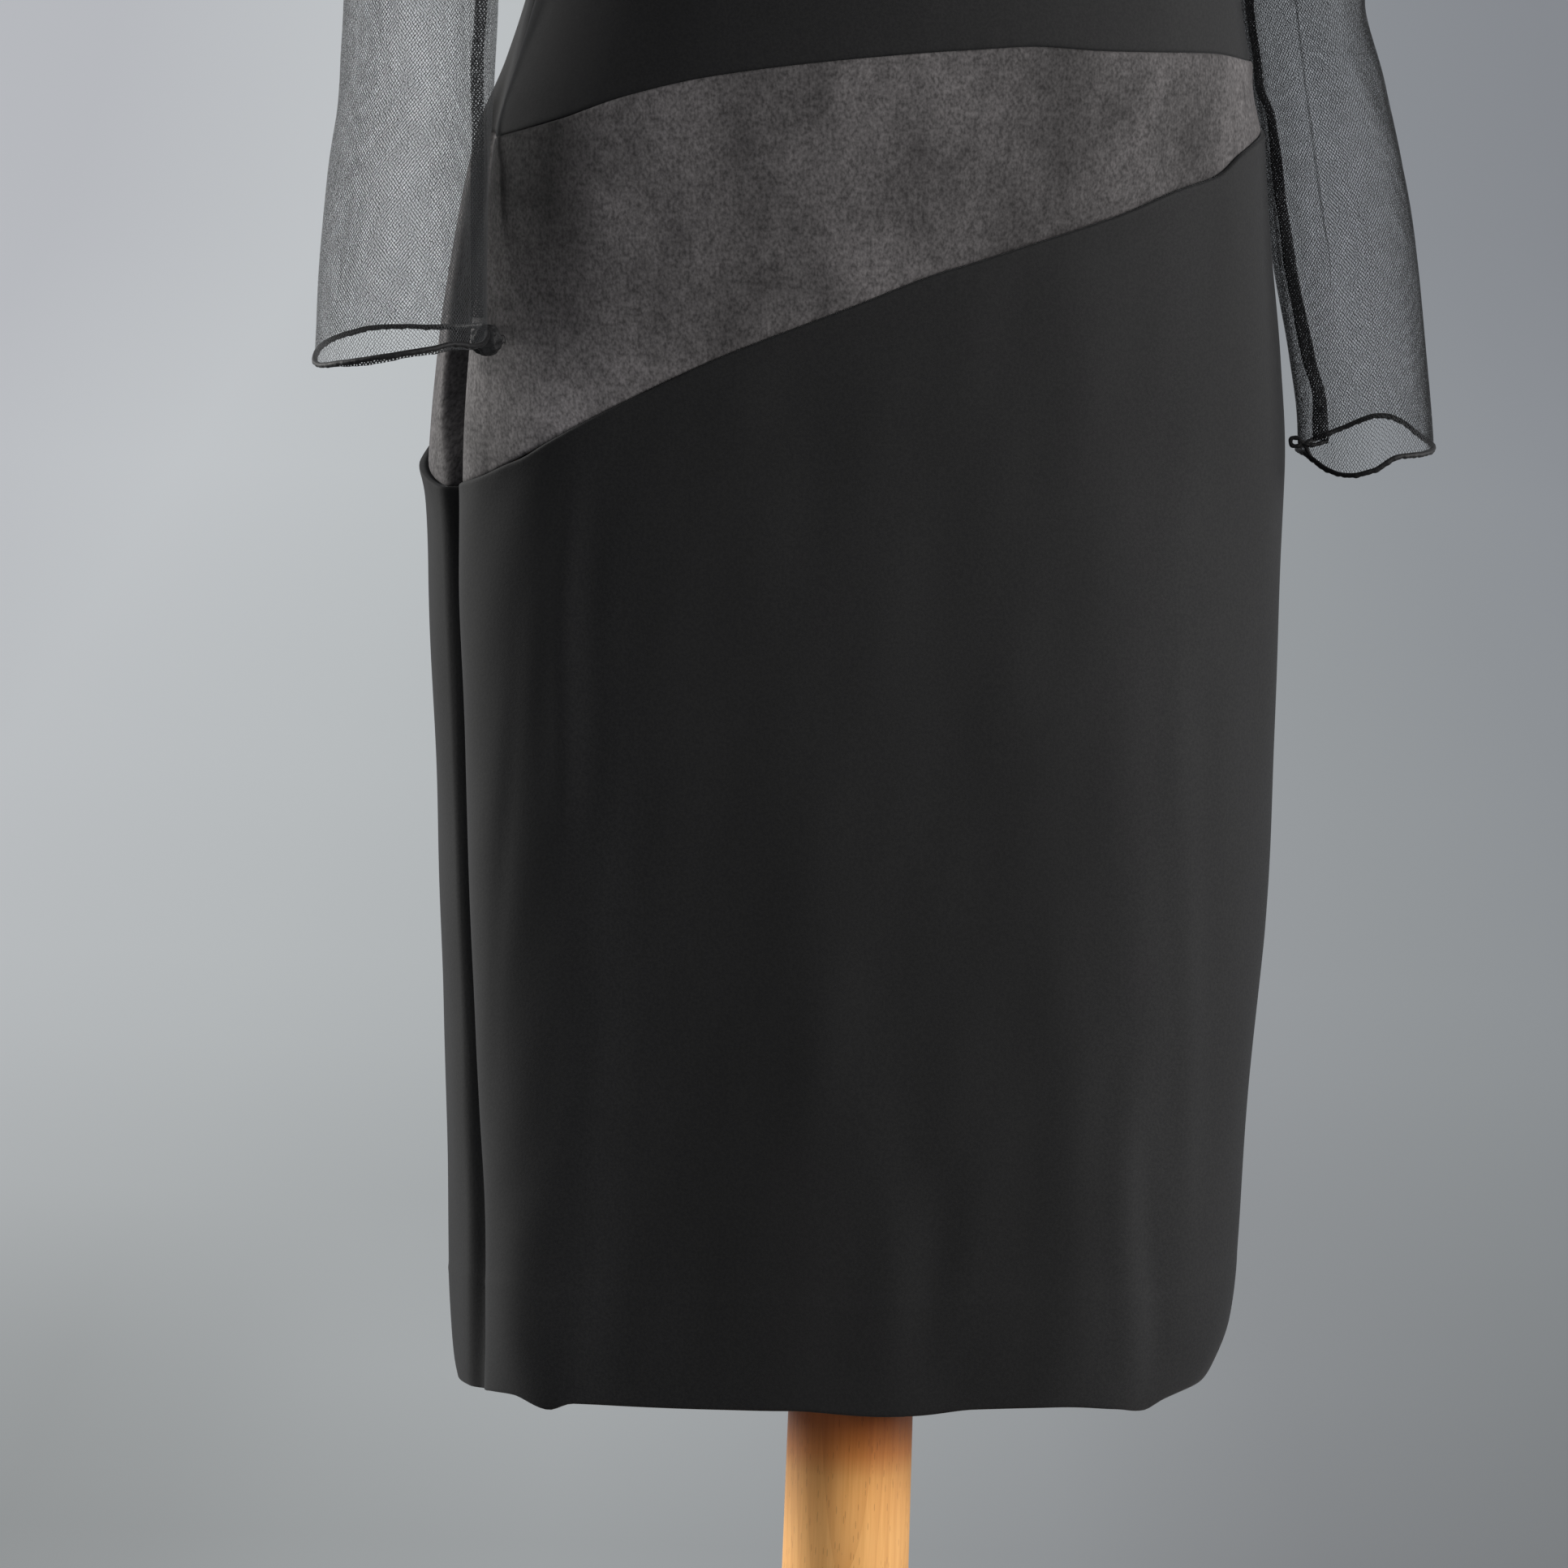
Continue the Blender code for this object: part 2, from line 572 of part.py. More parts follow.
for side, rows in (("left", SLEEVE_LEFT), ("right", SLEEVE_RIGHT)):
    out = 1 if side == "left" else -1
    start, face, across = armhole(side)
    count = len(start)
    angle = np.arange(count) * 360 / count
    top = rows["z"][-1]
    cuff = smooth(CUFFS["angle"], CUFFS[side], angle)
    ring = [start + across * SEAM * 1.2]
    upper = sleeve_ring(rows, angle, np.full(count, top), side)
    # Cubic paths from the armhole's edge, over the sleeve head, to the upper arm's section.
    height = (1 - np.cos(np.radians(angle))) / 2  # 0 at the underarm, 1 at the shoulder
    leave = across * (0.030 + 0.085 * height)[:, None]
    leave[:, 2] += 0.010 * (1 - height)
    leave[:, 0] += out * 0.040 * (1 - height)
    arrive = np.tile((0, 0, -1.0), (count, 1)) * (0.07 + 0.14 * height)[:, None]
    for s in SLEEVE_HEAD:
        ring.append(
            (2 * s**3 - 3 * s**2 + 1) * ring[0]
            + (s**3 - 2 * s**2 + s) * leave
            + (3 * s**2 - 2 * s**3) * upper
            + (s**3 - s**2) * arrive
        )
    for s in SLEEVE_DOWN:
        ring.append(sleeve_ring(rows, angle, top * (1 - s) + cuff * s, side))
    outer = np.array(ring[::-1])
    if side == "right":
        outer = outer[:, ::-1]
        face = face[::-1]
    facing = normals(outer, round_columns=True)
    middle = outer.mean(1, keepdims=True)
    if ((outer - middle)[: len(SLEEVE_DOWN)] * facing[: len(SLEEVE_DOWN)]).sum() < 0:
        facing = -facing
    facing[-1] = face
    inner = outer - SHEER * facing
    wall("sleeve_" + side, outer, inner, "sheer", tube=True)

    # Rolled hem: a ring of small round section just below the cuff's edge.
    centre = (outer[0] + inner[0]) / 2
    centre[:, 2] -= ROLL_RADIUS + SEAM + 0.0004
    along = np.roll(centre, -1, 0) - np.roll(centre, 1, 0)
    along /= np.linalg.norm(along, axis=1, keepdims=True)
    flat = np.cross(along, (0, 0, 1.0))
    flat /= np.linalg.norm(flat, axis=1, keepdims=True)
    up = np.cross(flat, along)
    bm = bmesh.new()
    sides = 6
    loops = []
    for c, f, v in zip(centre, flat, up):
        turn = [2 * np.pi * k / sides for k in range(sides)]
        loops.append(
            [bm.verts.new(c + ROLL_RADIUS * (np.cos(a) * f + np.sin(a) * v)) for a in turn]
        )
    for j in range(count):
        for k in range(sides):
            a, b = loops[j], loops[(j + 1) % count]
            m = (k + 1) % sides
            bm.faces.new((a[k], a[m], b[m], b[k]))
    bmesh.ops.recalc_face_normals(bm, faces=bm.faces)
    mesh = bpy.data.meshes.new("cuff_roll_" + side)
    bm.to_mesh(mesh)
    bm.free()
    finish("cuff_roll_" + side, mesh, "roll")


# ---------------------------------------------------------------- the dress form
FORM_INSET = table(
    "z inset",
    [(0.70, 0.026), (0.80, 0.023), (0.95, 0.020), (1.03, 0.014), (1.10, 0.007), (1.20, FORM_GAP), (1.30, FORM_GAP)],
)
FORM_HEIGHTS = [0.70, 0.703, 0.715, 0.76, 0.82, 0.88, 0.94, 0.99, 1.04, 1.09, 1.14, 1.185, 1.225, 1.262, 1.30]
FORM_YOKE = [0.07, 0.17, 0.30, 0.45, 0.60, 0.75, 0.88, 1.0]


# The form has the dress's columns, without the closest ones beside the seams.
front = np.delete(FRONT_TURNS, [1, 2, -3, -2])
back = 180 - front[::-1] * (180 - SIDE_LEFT) / SIDE_LEFT
bm = bmesh.new()
loops = []
for k, z in enumerate(FORM_HEIGHTS):
    inset = smooth(FORM_INSET["z"], FORM_INSET["inset"], z)
    tuck = (0.010, 0.005, 0.0)[min(k, 2)]  # the lower rim is rounded
    pull = 1.2 * (1 - z / UNDERARM)  # front and back columns stand a little apart at the sides
    ring = np.vstack(
        [
            section(np.clip(front, -SIDE_LEFT + pull, SIDE_LEFT - pull), z, inset + tuck),
            section(np.clip(back, SIDE_LEFT + 1 + pull, 359 - SIDE_LEFT - pull), z, inset + tuck),
        ]
    )
    loops.append([bm.verts.new(p) for p in ring])
for w in FORM_YOKE:
    ring = np.vstack(
        [yoke(front, w, True, FORM_YOKE_GAP), yoke(back, w, False, FORM_YOKE_GAP)]
    )
    loops.append([bm.verts.new(p) for p in ring])
count = len(loops[0])
for low, high in zip(loops, loops[1:]):
    for i in range(count):
        k = (i + 1) % count
        bm.faces.new((low[i], low[k], high[k], high[i]))
bm.faces.new(list(reversed(loops[0])))
bmesh.ops.remove_doubles(bm, verts=bm.verts, dist=2e-5)
bm.edges.ensure_lookup_table()
# The neck rises from the open loop inside the neck line.
rim = [e for e in bm.edges if len(e.link_faces) == 1]
neck_centre_y = -0.003
steps = 3
for step in range(1, steps + 1):
    grown = bmesh.ops.extrude_edge_only(bm, edges=rim)
    new = [g for g in grown["geom"] if isinstance(g, bmesh.types.BMVert)]
    rim = [g for g in grown["geom"] if isinstance(g, bmesh.types.BMEdge)]
    s = step / steps
    for v in new:
        dx, dy = v.co.x, v.co.y - neck_centre_y
        far = (dx * dx + dy * dy) ** 0.5
        radius = far + (NECK_RADIUS - far) * min(1, 1.6 * s / (0.6 + s))
        v.co.x, v.co.y = dx / far * radius, neck_centre_y + dy / far * radius
        v.co.z += (NECK_TOP - v.co.z) * (s if step == steps else 0.75 * s)
bmesh.ops.edgeloop_fill(bm, edges=rim)
bmesh.ops.recalc_face_normals(bm, faces=bm.faces)
mesh = bpy.data.meshes.new("form_torso")
bm.to_mesh(mesh)
bm.free()
finish("form_torso", mesh, "cover")


def turned(name, profile, colour, centre_y=0.0, sides=32):
    """A solid turned about a vertical axis from (radius, height) points, bottom to top."""
    bm = bmesh.new()
    loops = []
    for radius, z in profile:
        if radius == 0:
            loops.append([bm.verts.new((0, centre_y, z))])
            continue
        turn = [2 * np.pi * k / sides for k in range(sides)]
        loops.append(
            [bm.verts.new((radius * np.cos(a), centre_y + radius * np.sin(a), z)) for a in turn]
        )
    for low, high in zip(loops, loops[1:]):
        for i in range(sides):
            k = (i + 1) % sides
            if len(low) == 1:
                bm.faces.new((low[0], high[k], high[i]))
            elif len(high) == 1:
                bm.faces.new((low[i], low[k], high[0]))
            else:
                bm.faces.new((low[i], low[k], high[k], high[i]))
    bmesh.ops.recalc_face_normals(bm, faces=bm.faces)
    mesh = bpy.data.meshes.new(name)
    bm.to_mesh(mesh)
    bm.free()
    return finish(name, mesh, colour, smooth_at=50)


def pole_radius(z):
    return POLE_RADIUS + (POLE_AT - z) * POLE_TAPER


cap = NECK_TOP + SEAM
turned(
    "form_neck_cap",
    [(0, cap), (CAP_RADIUS, cap), (CAP_RADIUS, cap + 0.012)]
    + [
        (CAP_RADIUS * np.cos(np.radians(a)), cap + 0.012 + (CAP_TALL - 0.012) * np.sin(np.radians(a)))
        for a in (22, 45, 68)
    ]
    + [(0, cap + CAP_TALL)],
    "beech",
    centre_y=neck_centre_y,
)
turned(
    "form_pole",
    [
        (0, BASE_TALL + SEAM),
        (pole_radius(BASE_TALL), BASE_TALL + SEAM),
        (pole_radius(FORM_BOTTOM), FORM_BOTTOM - SEAM),
        (0, FORM_BOTTOM - SEAM),
    ],
    "beech",
)
edge = [
    (BASE_RADIUS - BASE_ROUND * (1 - np.cos(np.radians(a))), BASE_TALL - BASE_ROUND * (1 - np.sin(np.radians(a))))
    for a in (0, 30, 60, 90)
]
turned(
    "form_base",
    [(0, 0), (BASE_RADIUS - 0.003, 0), (BASE_RADIUS, 0.003)] + edge + [(0, BASE_TALL)],
    "beech",
    sides=48,
)
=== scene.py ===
"""Looks of a sheath dress on a limbless dress form.

Metres, +Z up. The front of the dress faces -Y and the wearer's left side is at +X.
Each piece of cloth is a thin shell on its solid's surface, with creases laid in from the tables below.
"""

import math

import bmesh
import bpy
import numpy as np
from mathutils import Matrix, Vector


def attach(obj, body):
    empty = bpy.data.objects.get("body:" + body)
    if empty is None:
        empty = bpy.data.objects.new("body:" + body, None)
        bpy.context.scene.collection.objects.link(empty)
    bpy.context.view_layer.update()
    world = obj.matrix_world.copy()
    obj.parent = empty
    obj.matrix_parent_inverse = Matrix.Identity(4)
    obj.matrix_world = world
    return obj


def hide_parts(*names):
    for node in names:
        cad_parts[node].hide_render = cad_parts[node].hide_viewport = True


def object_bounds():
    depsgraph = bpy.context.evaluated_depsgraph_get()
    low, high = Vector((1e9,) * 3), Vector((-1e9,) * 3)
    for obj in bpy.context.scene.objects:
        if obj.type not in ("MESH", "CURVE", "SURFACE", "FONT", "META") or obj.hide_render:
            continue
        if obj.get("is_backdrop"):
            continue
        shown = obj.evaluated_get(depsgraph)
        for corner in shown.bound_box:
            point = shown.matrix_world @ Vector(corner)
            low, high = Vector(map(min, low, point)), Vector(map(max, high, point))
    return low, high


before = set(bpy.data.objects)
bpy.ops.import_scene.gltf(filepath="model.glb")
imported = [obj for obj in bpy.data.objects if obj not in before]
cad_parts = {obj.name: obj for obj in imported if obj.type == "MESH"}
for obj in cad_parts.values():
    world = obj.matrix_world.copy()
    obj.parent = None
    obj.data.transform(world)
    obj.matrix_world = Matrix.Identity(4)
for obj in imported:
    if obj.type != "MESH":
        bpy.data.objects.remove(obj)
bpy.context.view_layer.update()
# ---------------------------------------------------------------- sizes
CLOTH = 0.0018  # crepe with its lining; the inset band is as thick
SHEER = 0.0012  # sleeve
SEAM = 0.0003  # gap between sewn pieces
PROUD = 0.0005  # the skirt lies over the band's lower seam, with a lip that stands out a little more
LIP, LIP_FADE = 0.0014, 0.014
SIDE_LEFT = 88.0  # angle of the wearer's left side seam
CENTRE_BACK = 180.0
UNDERARM = 1.300  # height where the armholes start
FOLD_FRONT, FOLD_BACK = 0.008, 0.012  # how far the inward fold at a side seam spreads on the front and the back panel
FOLD_LEFT_SHARE = 0.35  # the fold at the wearer's left seam is this share of the right one's depth

BUST_X, BUST_Z, BUST_WIDE, BUST_TALL, BUST_RISE = 0.086, 1.225, 0.055, 0.062, 0.016

SHOULDER_X, SHOULDER_Y, SHOULDER_Z = 0.187, 0.006, 1.436  # shoulder tip
NECK_X, NECK_Y, NECK_Z = 0.060, 0.008, 1.490  # where the form's neck meets the shoulder line
NECK_U = 0.20  # the same point, as a share of the half width
COLLAR_U = 0.335  # the dress's neckline meets the shoulder line here
DIP_FRONT, DIP_BACK = 0.29, 0.13  # how far down the neckline dips, as a share of the way from underarm to neck

FORM_BOTTOM = 0.700
FORM_GAP = 0.0036  # from the cloth's outer face to the form round the bust
FORM_YOKE_GAP = 0.0046  # the same at the shoulders and the upper chest
NECK_RADIUS, NECK_TOP = 0.053, 1.560
CAP_RADIUS, CAP_TALL = 0.0565, 0.024
POLE_RADIUS, POLE_TAPER, POLE_AT = 0.0277, 0.0065, 0.42  # radius at that height, growing downwards
BASE_RADIUS, BASE_TALL, BASE_ROUND = 0.185, 0.030, 0.008
ROLL_RADIUS = 0.0012  # rolled hem of a sleeve


def table(columns, rows):
    return {
        name: np.array([row[k] for row in rows], float)
        for k, name in enumerate(columns.split())
    }


# Sections of the dress. left and right are the half widths at the wearer's right (-X) and left (+X) side,
# front and back reach from the section's centre line y, square is the superellipse's power,
# fold is the depth of the inward fold at the side seam, seam its angle.
SECTIONS = table(
    "z right left front back y square fold seam",
    [
        (0.415, 0.1700, 0.1480, 0.094, 0.092, 0.012, 2.70, 0.004, -88.0),
        (0.425, 0.1710, 0.1530, 0.095, 0.094, 0.012, 2.70, 0.004, -87.5),
        (0.440, 0.1740, 0.1650, 0.096, 0.095, 0.012, 2.70, 0.005, -85.5),
        (0.460, 0.1755, 0.1720, 0.097, 0.097, 0.012, 2.70, 0.006, -84.5),
        (0.500, 0.1775, 0.1755, 0.099, 0.100, 0.013, 2.60, 0.008, -84.0),
        (0.560, 0.1800, 0.1780, 0.101, 0.104, 0.014, 2.50, 0.010, -86.0),
        (0.640, 0.1850, 0.1840, 0.104, 0.109, 0.016, 2.45, 0.012, -87.0),
        (0.720, 0.1900, 0.1855, 0.107, 0.114, 0.018, 2.40, 0.012, -86.5),
        (0.790, 0.1945, 0.1865, 0.109, 0.118, 0.020, 2.35, 0.012, -86.0),
        (0.840, 0.1960, 0.1870, 0.110, 0.120, 0.020, 2.30, 0.012, -85.0),
        (0.890, 0.1940, 0.1830, 0.111, 0.118, 0.018, 2.25, 0.012, -86.0),
        (0.940, 0.1890, 0.1755, 0.111, 0.112, 0.015, 2.20, 0.010, -87.0),
        (0.985, 0.1820, 0.1695, 0.109, 0.105, 0.012, 2.15, 0.007, -89.0),
        (1.015, 0.1710, 0.1620, 0.107, 0.100, 0.010, 2.10, 0.003, -91.0),
        (1.045, 0.1620, 0.1555, 0.104, 0.096, 0.008, 2.10, 0.001, -90.5),
        (1.100, 0.1510, 0.1490, 0.098, 0.088, 0.004, 2.10, 0.000, -89.0),
        (1.160, 0.1560, 0.1555, 0.101, 0.088, 0.001, 2.15, 0.000, -88.0),
        (1.225, 0.1640, 0.1640, 0.107, 0.093, -0.001, 2.25, 0.000, -88.0),
        (1.300, 0.1680, 0.1680, 0.110, 0.098, -0.001, 2.40, 0.000, -88.0),
    ],
)

# Lower edge of the skirt, and the band's lower and upper seams, by angle on the front.
# The back repeats the seams, folded about the side seams.
HEM = table(
    "angle z",
    [
        (-100, 0.4300), (-90, 0.4320), (-78, 0.4362), (-68, 0.4380), (-58, 0.4340), (-51, 0.4380),
        (-30, 0.4388), (-12, 0.4378), (0, 0.4338), (6, 0.4356), (18, 0.4350), (32, 0.4315),
        (42, 0.4282), (47, 0.4318), (58, 0.4345), (75, 0.4360), (95, 0.4355), (135, 0.4330),
        (180, 0.4345), (225, 0.4320), (260, 0.4300),
    ],
)  # fmt: skip
SEAM_LOW = table(
    "angle z",
    [
        (-90, 0.8300), (-84, 0.8325), (-72, 0.8387), (-60, 0.8512), (-45, 0.8722), (-28, 0.8975),
        (-12, 0.9192), (1, 0.9382), (12, 0.9495), (24, 0.9595), (36, 0.9695), (46, 0.9745),
        (55, 0.9830), (68, 0.9885), (90, 0.9920),
    ],
)  # fmt: skip
SEAM_HIGH = table(
    "angle z",
    [
        (-92, 0.9810), (-78, 0.9864), (-64, 0.9948), (-52, 1.0060), (-38, 1.0158), (-17, 1.0249),
        (2, 1.0302), (11, 1.0316), (22, 1.0298), (50, 1.0273), (72, 1.0216), (90, 1.0190),
    ],
)  # fmt: skip

# From the underarm (w = 0) to the shoulder seam (w = 1): half is where the armhole edge stands from
# the centre, edge and middle are y there and on the centre line, and climb is the share of the height.
CHEST = table(
    "w half edge middle climb_edge climb_middle",
    [
        (0.07, 0.1670, -0.015, -0.109, 0.015, 0.066),
        (0.15, 0.1645, -0.030, -0.106, 0.05, 0.14),
        (0.30, 0.1570, -0.051, -0.102, 0.18, 0.29),
        (0.50, 0.1515, -0.061, -0.092, 0.42, 0.49),
        (0.68, 0.1560, -0.057, -0.081, 0.66, 0.67),
        (0.85, 0.1700, -0.038, -0.067, 0.86, 0.85),
        (1.00, SHOULDER_X, SHOULDER_Y, -0.050, 1.0, 1.0),
    ],
)
SHOULDERS = table(
    "w half edge middle climb_edge climb_middle",
    [
        (0.07, 0.1672, 0.018, 0.098, 0.015, 0.066),
        (0.15, 0.1652, 0.032, 0.098, 0.05, 0.14),
        (0.30, 0.1605, 0.053, 0.098, 0.18, 0.29),
        (0.50, 0.1580, 0.064, 0.094, 0.42, 0.49),
        (0.68, 0.1640, 0.061, 0.085, 0.66, 0.67),
        (0.85, 0.1750, 0.046, 0.070, 0.86, 0.85),
        (1.00, SHOULDER_X, SHOULDER_Y, 0.050, 1.0, 1.0),
    ],
)
NECK_FRONT_Z, NECK_BACK_Z = 1.440, 1.474  # the form's neck line at the centre front and back

# Sleeve sections: x from the middle, y, half width and half depth at that height.
SLEEVE_RIGHT = table(
    "z x y wide deep",
    [
        (0.8900, -0.2283, -0.038, 0.0367, 0.040),
        (0.9300, -0.2238, -0.020, 0.0358, 0.042),
        (0.9700, -0.2195, -0.009, 0.0339, 0.044),
        (1.0100, -0.2136, 0.003, 0.0322, 0.045),
        (1.0500, -0.2116, 0.008, 0.0319, 0.046),
        (1.1200, -0.2120, 0.013, 0.0350, 0.048),
        (1.1900, -0.2145, 0.016, 0.0405, 0.051),
        (1.2400, -0.2165, 0.016, 0.0435, 0.054),
    ],
)
SLEEVE_LEFT = table(
    "z x y wide deep",
    [
        (0.8400, 0.2262, 0.001, 0.0287, 0.041),
        (0.8600, 0.2249, 0.002, 0.0285, 0.041),
        (0.8900, 0.2209, 0.004, 0.0291, 0.042),
        (0.9300, 0.2158, 0.008, 0.0297, 0.043),
        (0.9700, 0.2096, 0.010, 0.0285, 0.044),
        (1.0100, 0.2008, 0.012, 0.0261, 0.045),
        (1.0500, 0.1919, 0.012, 0.0229, 0.046),
        (1.1200, 0.1950, 0.014, 0.0285, 0.048),
        (1.1900, 0.2075, 0.016, 0.0380, 0.051),
        (1.2400, 0.2150, 0.016, 0.0435, 0.054),
    ],
)
# Height of the cuffs round the sleeve, from the inner side (0) over the front (90) and the outer side (180).
CUFFS = table(
    "angle right left",
    [
        (0, 0.9045, 0.8460), (45, 0.8990, 0.8395), (68, 0.9005, 0.8425), (90, 0.8985, 0.8490),
        (135, 0.8930, 0.8502), (180, 0.8885, 0.8520), (225, 0.8945, 0.8595), (270, 0.8995, 0.8510),
        (315, 0.9010, 0.8460), (360, 0.9045, 0.8460),
    ],
)  # fmt: skip

def smooth(xs, ys, at):
    """A monotone cubic through the rows of a table: it adds no bump between them."""
    h = np.diff(xs)
    d = np.diff(ys) / h
    m = np.zeros(len(xs))
    m[0], m[-1] = d[0], d[-1]
    for k in range(1, len(xs) - 1):
        if d[k - 1] * d[k] > 0:
            a, b = 2 * h[k] + h[k - 1], h[k] + 2 * h[k - 1]
            m[k] = (a + b) / (a / d[k - 1] + b / d[k])
    at = np.clip(at, xs[0], xs[-1])
    k = np.clip(np.searchsorted(xs, at) - 1, 0, len(xs) - 2)
    s = (at - xs[k]) / h[k]
    return (
        (2 * s**3 - 3 * s**2 + 1) * ys[k]
        + (s**3 - 2 * s**2 + s) * h[k] * m[k]
        + (3 * s**2 - 2 * s**3) * ys[k + 1]
        + (s**3 - s**2) * h[k] * m[k + 1]
    )


def power(value, p):
    return np.sign(value) * np.abs(value) ** p


# ---------------------------------------------------------------- the body's surface
def section(t, z, inset=None):
    """Smooth section of the dress, without the folds at its seams. With an inset it is the form's."""
    t, z = np.broadcast_arrays(np.asarray(t, float), np.asarray(z, float))
    s, c = np.sin(np.radians(t)), np.cos(np.radians(t))

    def at(name):
        return smooth(SECTIONS["z"], SECTIONS[name], z)

    right, left, front, back, square = (
        at(n) for n in ("right", "left", "front", "back", "square")
    )
    if inset is not None:
        right = left = (right + left) / 2 - inset
        front, back = front - inset, back - inset
        square = np.minimum(square, 2.3)
        square = np.where(z > UNDERARM - 1e-6, at("square"), square)
    x = np.where(s < 0, right, left) * power(s, 2 / square)
    y = at("y") - np.where(c > 0, front, back) * power(c, 2 / square)
    bust = np.exp(
        -(((np.abs(x) - BUST_X) / BUST_WIDE) ** 2) - ((z - BUST_Z) / BUST_TALL) ** 2
    )
    y = y - BUST_RISE * bust * np.clip(c, 0, 1) ** 0.5
    return np.stack([x, y, z], -1)


def outwards(t, z):
    """Horizontal normal of the smooth section."""
    d = section(t + 0.4, z) - section(t - 0.4, z)
    n = np.stack([-d[..., 1], d[..., 0], np.zeros(d.shape[:-1])], -1)
    n = -n / np.linalg.norm(n, axis=-1, keepdims=True)
    return n


def side_right(z):
    return smooth(SECTIONS["z"], SECTIONS["seam"], z)


def body(t, z, stand=0.0):
    """Outer face of the dress below the underarm, folded in at both side seams."""
    t, z = np.broadcast_arrays(np.asarray(t, float), np.asarray(z, float))
    turn = (t + 180) % 360 - 180
    p, n = section(t, z), outwards(t, z)
    deep = smooth(SECTIONS["z"], SECTIONS["fold"], z)
    pull = np.zeros(t.shape)
    for seam, share in ((side_right(z), 1.0), (SIDE_LEFT, FOLD_LEFT_SHARE)):
        gap = np.linalg.norm(p - section(seam, z), axis=-1)
        on_front = np.abs(turn) < np.abs(seam)
        reach = np.where(on_front, FOLD_FRONT, FOLD_BACK)
        near = np.abs(turn - seam) < 60
        pull += np.where(near, share * deep * np.exp(-gap / reach), 0)
        # Hung cloth folds in more sharply than a block would: behind the wearer's right seam the back stands in a roll.
        s = np.clip((z - 0.825) / 0.045, 0, 1)
        high = s * s * (3 - 2 * s)
        far = 0.0090 + 0.0092 * high
        s = np.clip((gap - far + 0.0044) / 0.0088, 0, 1)
        cliff = np.where(on_front, np.exp(-((gap / 0.0032) ** 1.5)), 1 - s * s * (3 - 2 * s))
        pull += np.where(near, share**2 * deep / 0.012 * (0.0055 + 0.0050 * high) * cliff, 0)
    return p + n * (np.asarray(stand) - pull)[..., None]


def folded(t):
    """The angle on the front that faces an angle on the back."""
    turn = (np.asarray(t, float) + 180) % 360 - 180
    return np.where(np.abs(turn) > 90, np.sign(turn) * (180 - np.abs(turn)), turn)


def seam_low(t):
    return smooth(SEAM_LOW["angle"], SEAM_LOW["z"], folded(t))


def seam_high(t):
    return smooth(SEAM_HIGH["angle"], SEAM_HIGH["z"], folded(t))


def hem(t):
    turn = np.asarray(t, float)
    return smooth(
        HEM["angle"], HEM["z"], np.where(turn > 260, turn - 360, turn)
    )


def yoke(t, w, front, inset=0.0):
    """Surface from the underarm's section up to the shoulder seam and the form's neck line."""
    t, w = np.broadcast_arrays(np.asarray(t, float), np.asarray(w, float))
    rows = CHEST if front else SHOULDERS
    middle = 0.0 if front else 180.0
    reach = SIDE_LEFT if front else 180.0 - SIDE_LEFT
    u = np.clip(np.abs(t - middle) / reach, 0, 1)
    if inset:
        ring = section(t, UNDERARM, inset)
        corner = section(SIDE_LEFT, UNDERARM, inset)
        centre = section(middle, UNDERARM, inset)
    else:
        ring, corner, centre = (
            body(a, UNDERARM) for a in (t, SIDE_LEFT, middle)
        )

    def at(name, start, grow=0.0):
        return smooth(np.append(0.0, rows["w"]), np.append(start, rows[name] + grow), w)

    sign = -1 if front else 1
    sink = inset * (1 + 1.1 * (1 - u) * w)  # the form falls away a little more towards its neck
    half = at("half", corner[0], -inset)
    edge = at("edge", corner[1])
    mid = at("middle", centre[1] + sign * inset) - sign * sink
    a = np.radians(90) * np.clip(u / NECK_U, 0, 1)
    past = np.clip((u - NECK_U) / (1 - NECK_U), 0, 1)
    neck = u < NECK_U
    top_x = np.where(neck, NECK_X * np.sin(a), NECK_X + (SHOULDER_X - NECK_X) * past)
    neck_z = NECK_FRONT_Z if front else NECK_BACK_Z
    top_z = np.where(
        neck,
        NECK_Z - (NECK_Z - neck_z) * np.cos(a),
        NECK_Z + (SHOULDER_Z - NECK_Z) * past,
    )
    last = rows["middle"][-1] - sign * sink
    top_y = np.where(
        neck,
        NECK_Y + (last - NECK_Y) * np.cos(a),
        NECK_Y + (SHOULDER_Y - NECK_Y) * past,
    )
    flat0 = (ring[..., 1] - corner[1]) / (centre[1] - corner[1])
    flat1 = (top_y - SHOULDER_Y) / (last - SHOULDER_Y)
    wide0, wide1 = np.abs(ring[..., 0]) / corner[0], top_x / SHOULDER_X
    late = w**2.6
    flat = flat0 * (1 - late) + flat1 * late
    wide = wide0 * (1 - w**1.6) + wide1 * w**1.6
    climb = at("climb_edge", 0.0) * u**3 + at("climb_middle", 0.0) * (1 - u**3)
    x = half * wide * np.where((t - middle) * (1 if front else -1) < 0, -1, 1)
    y = edge + (mid - edge) * flat
    z = UNDERARM + (top_z - sink - UNDERARM) * climb
    return np.stack([x, y, z], -1)

# ---------------------------------------------------------------- grids of points
CREPE, SATIN, NET = 0.0011, 0.0011, 0.00014  # thickness of the shells
TURN_UP, TURN_UP_THICK = 0.050, 0.0010  # the hem's allowance and what it adds inside
JOIN = 0.00003  # half the gap where two shells meet
ROLL_WIDE, ROLL_DEEP = 0.0022, 0.0009  # how a sewn edge turns in

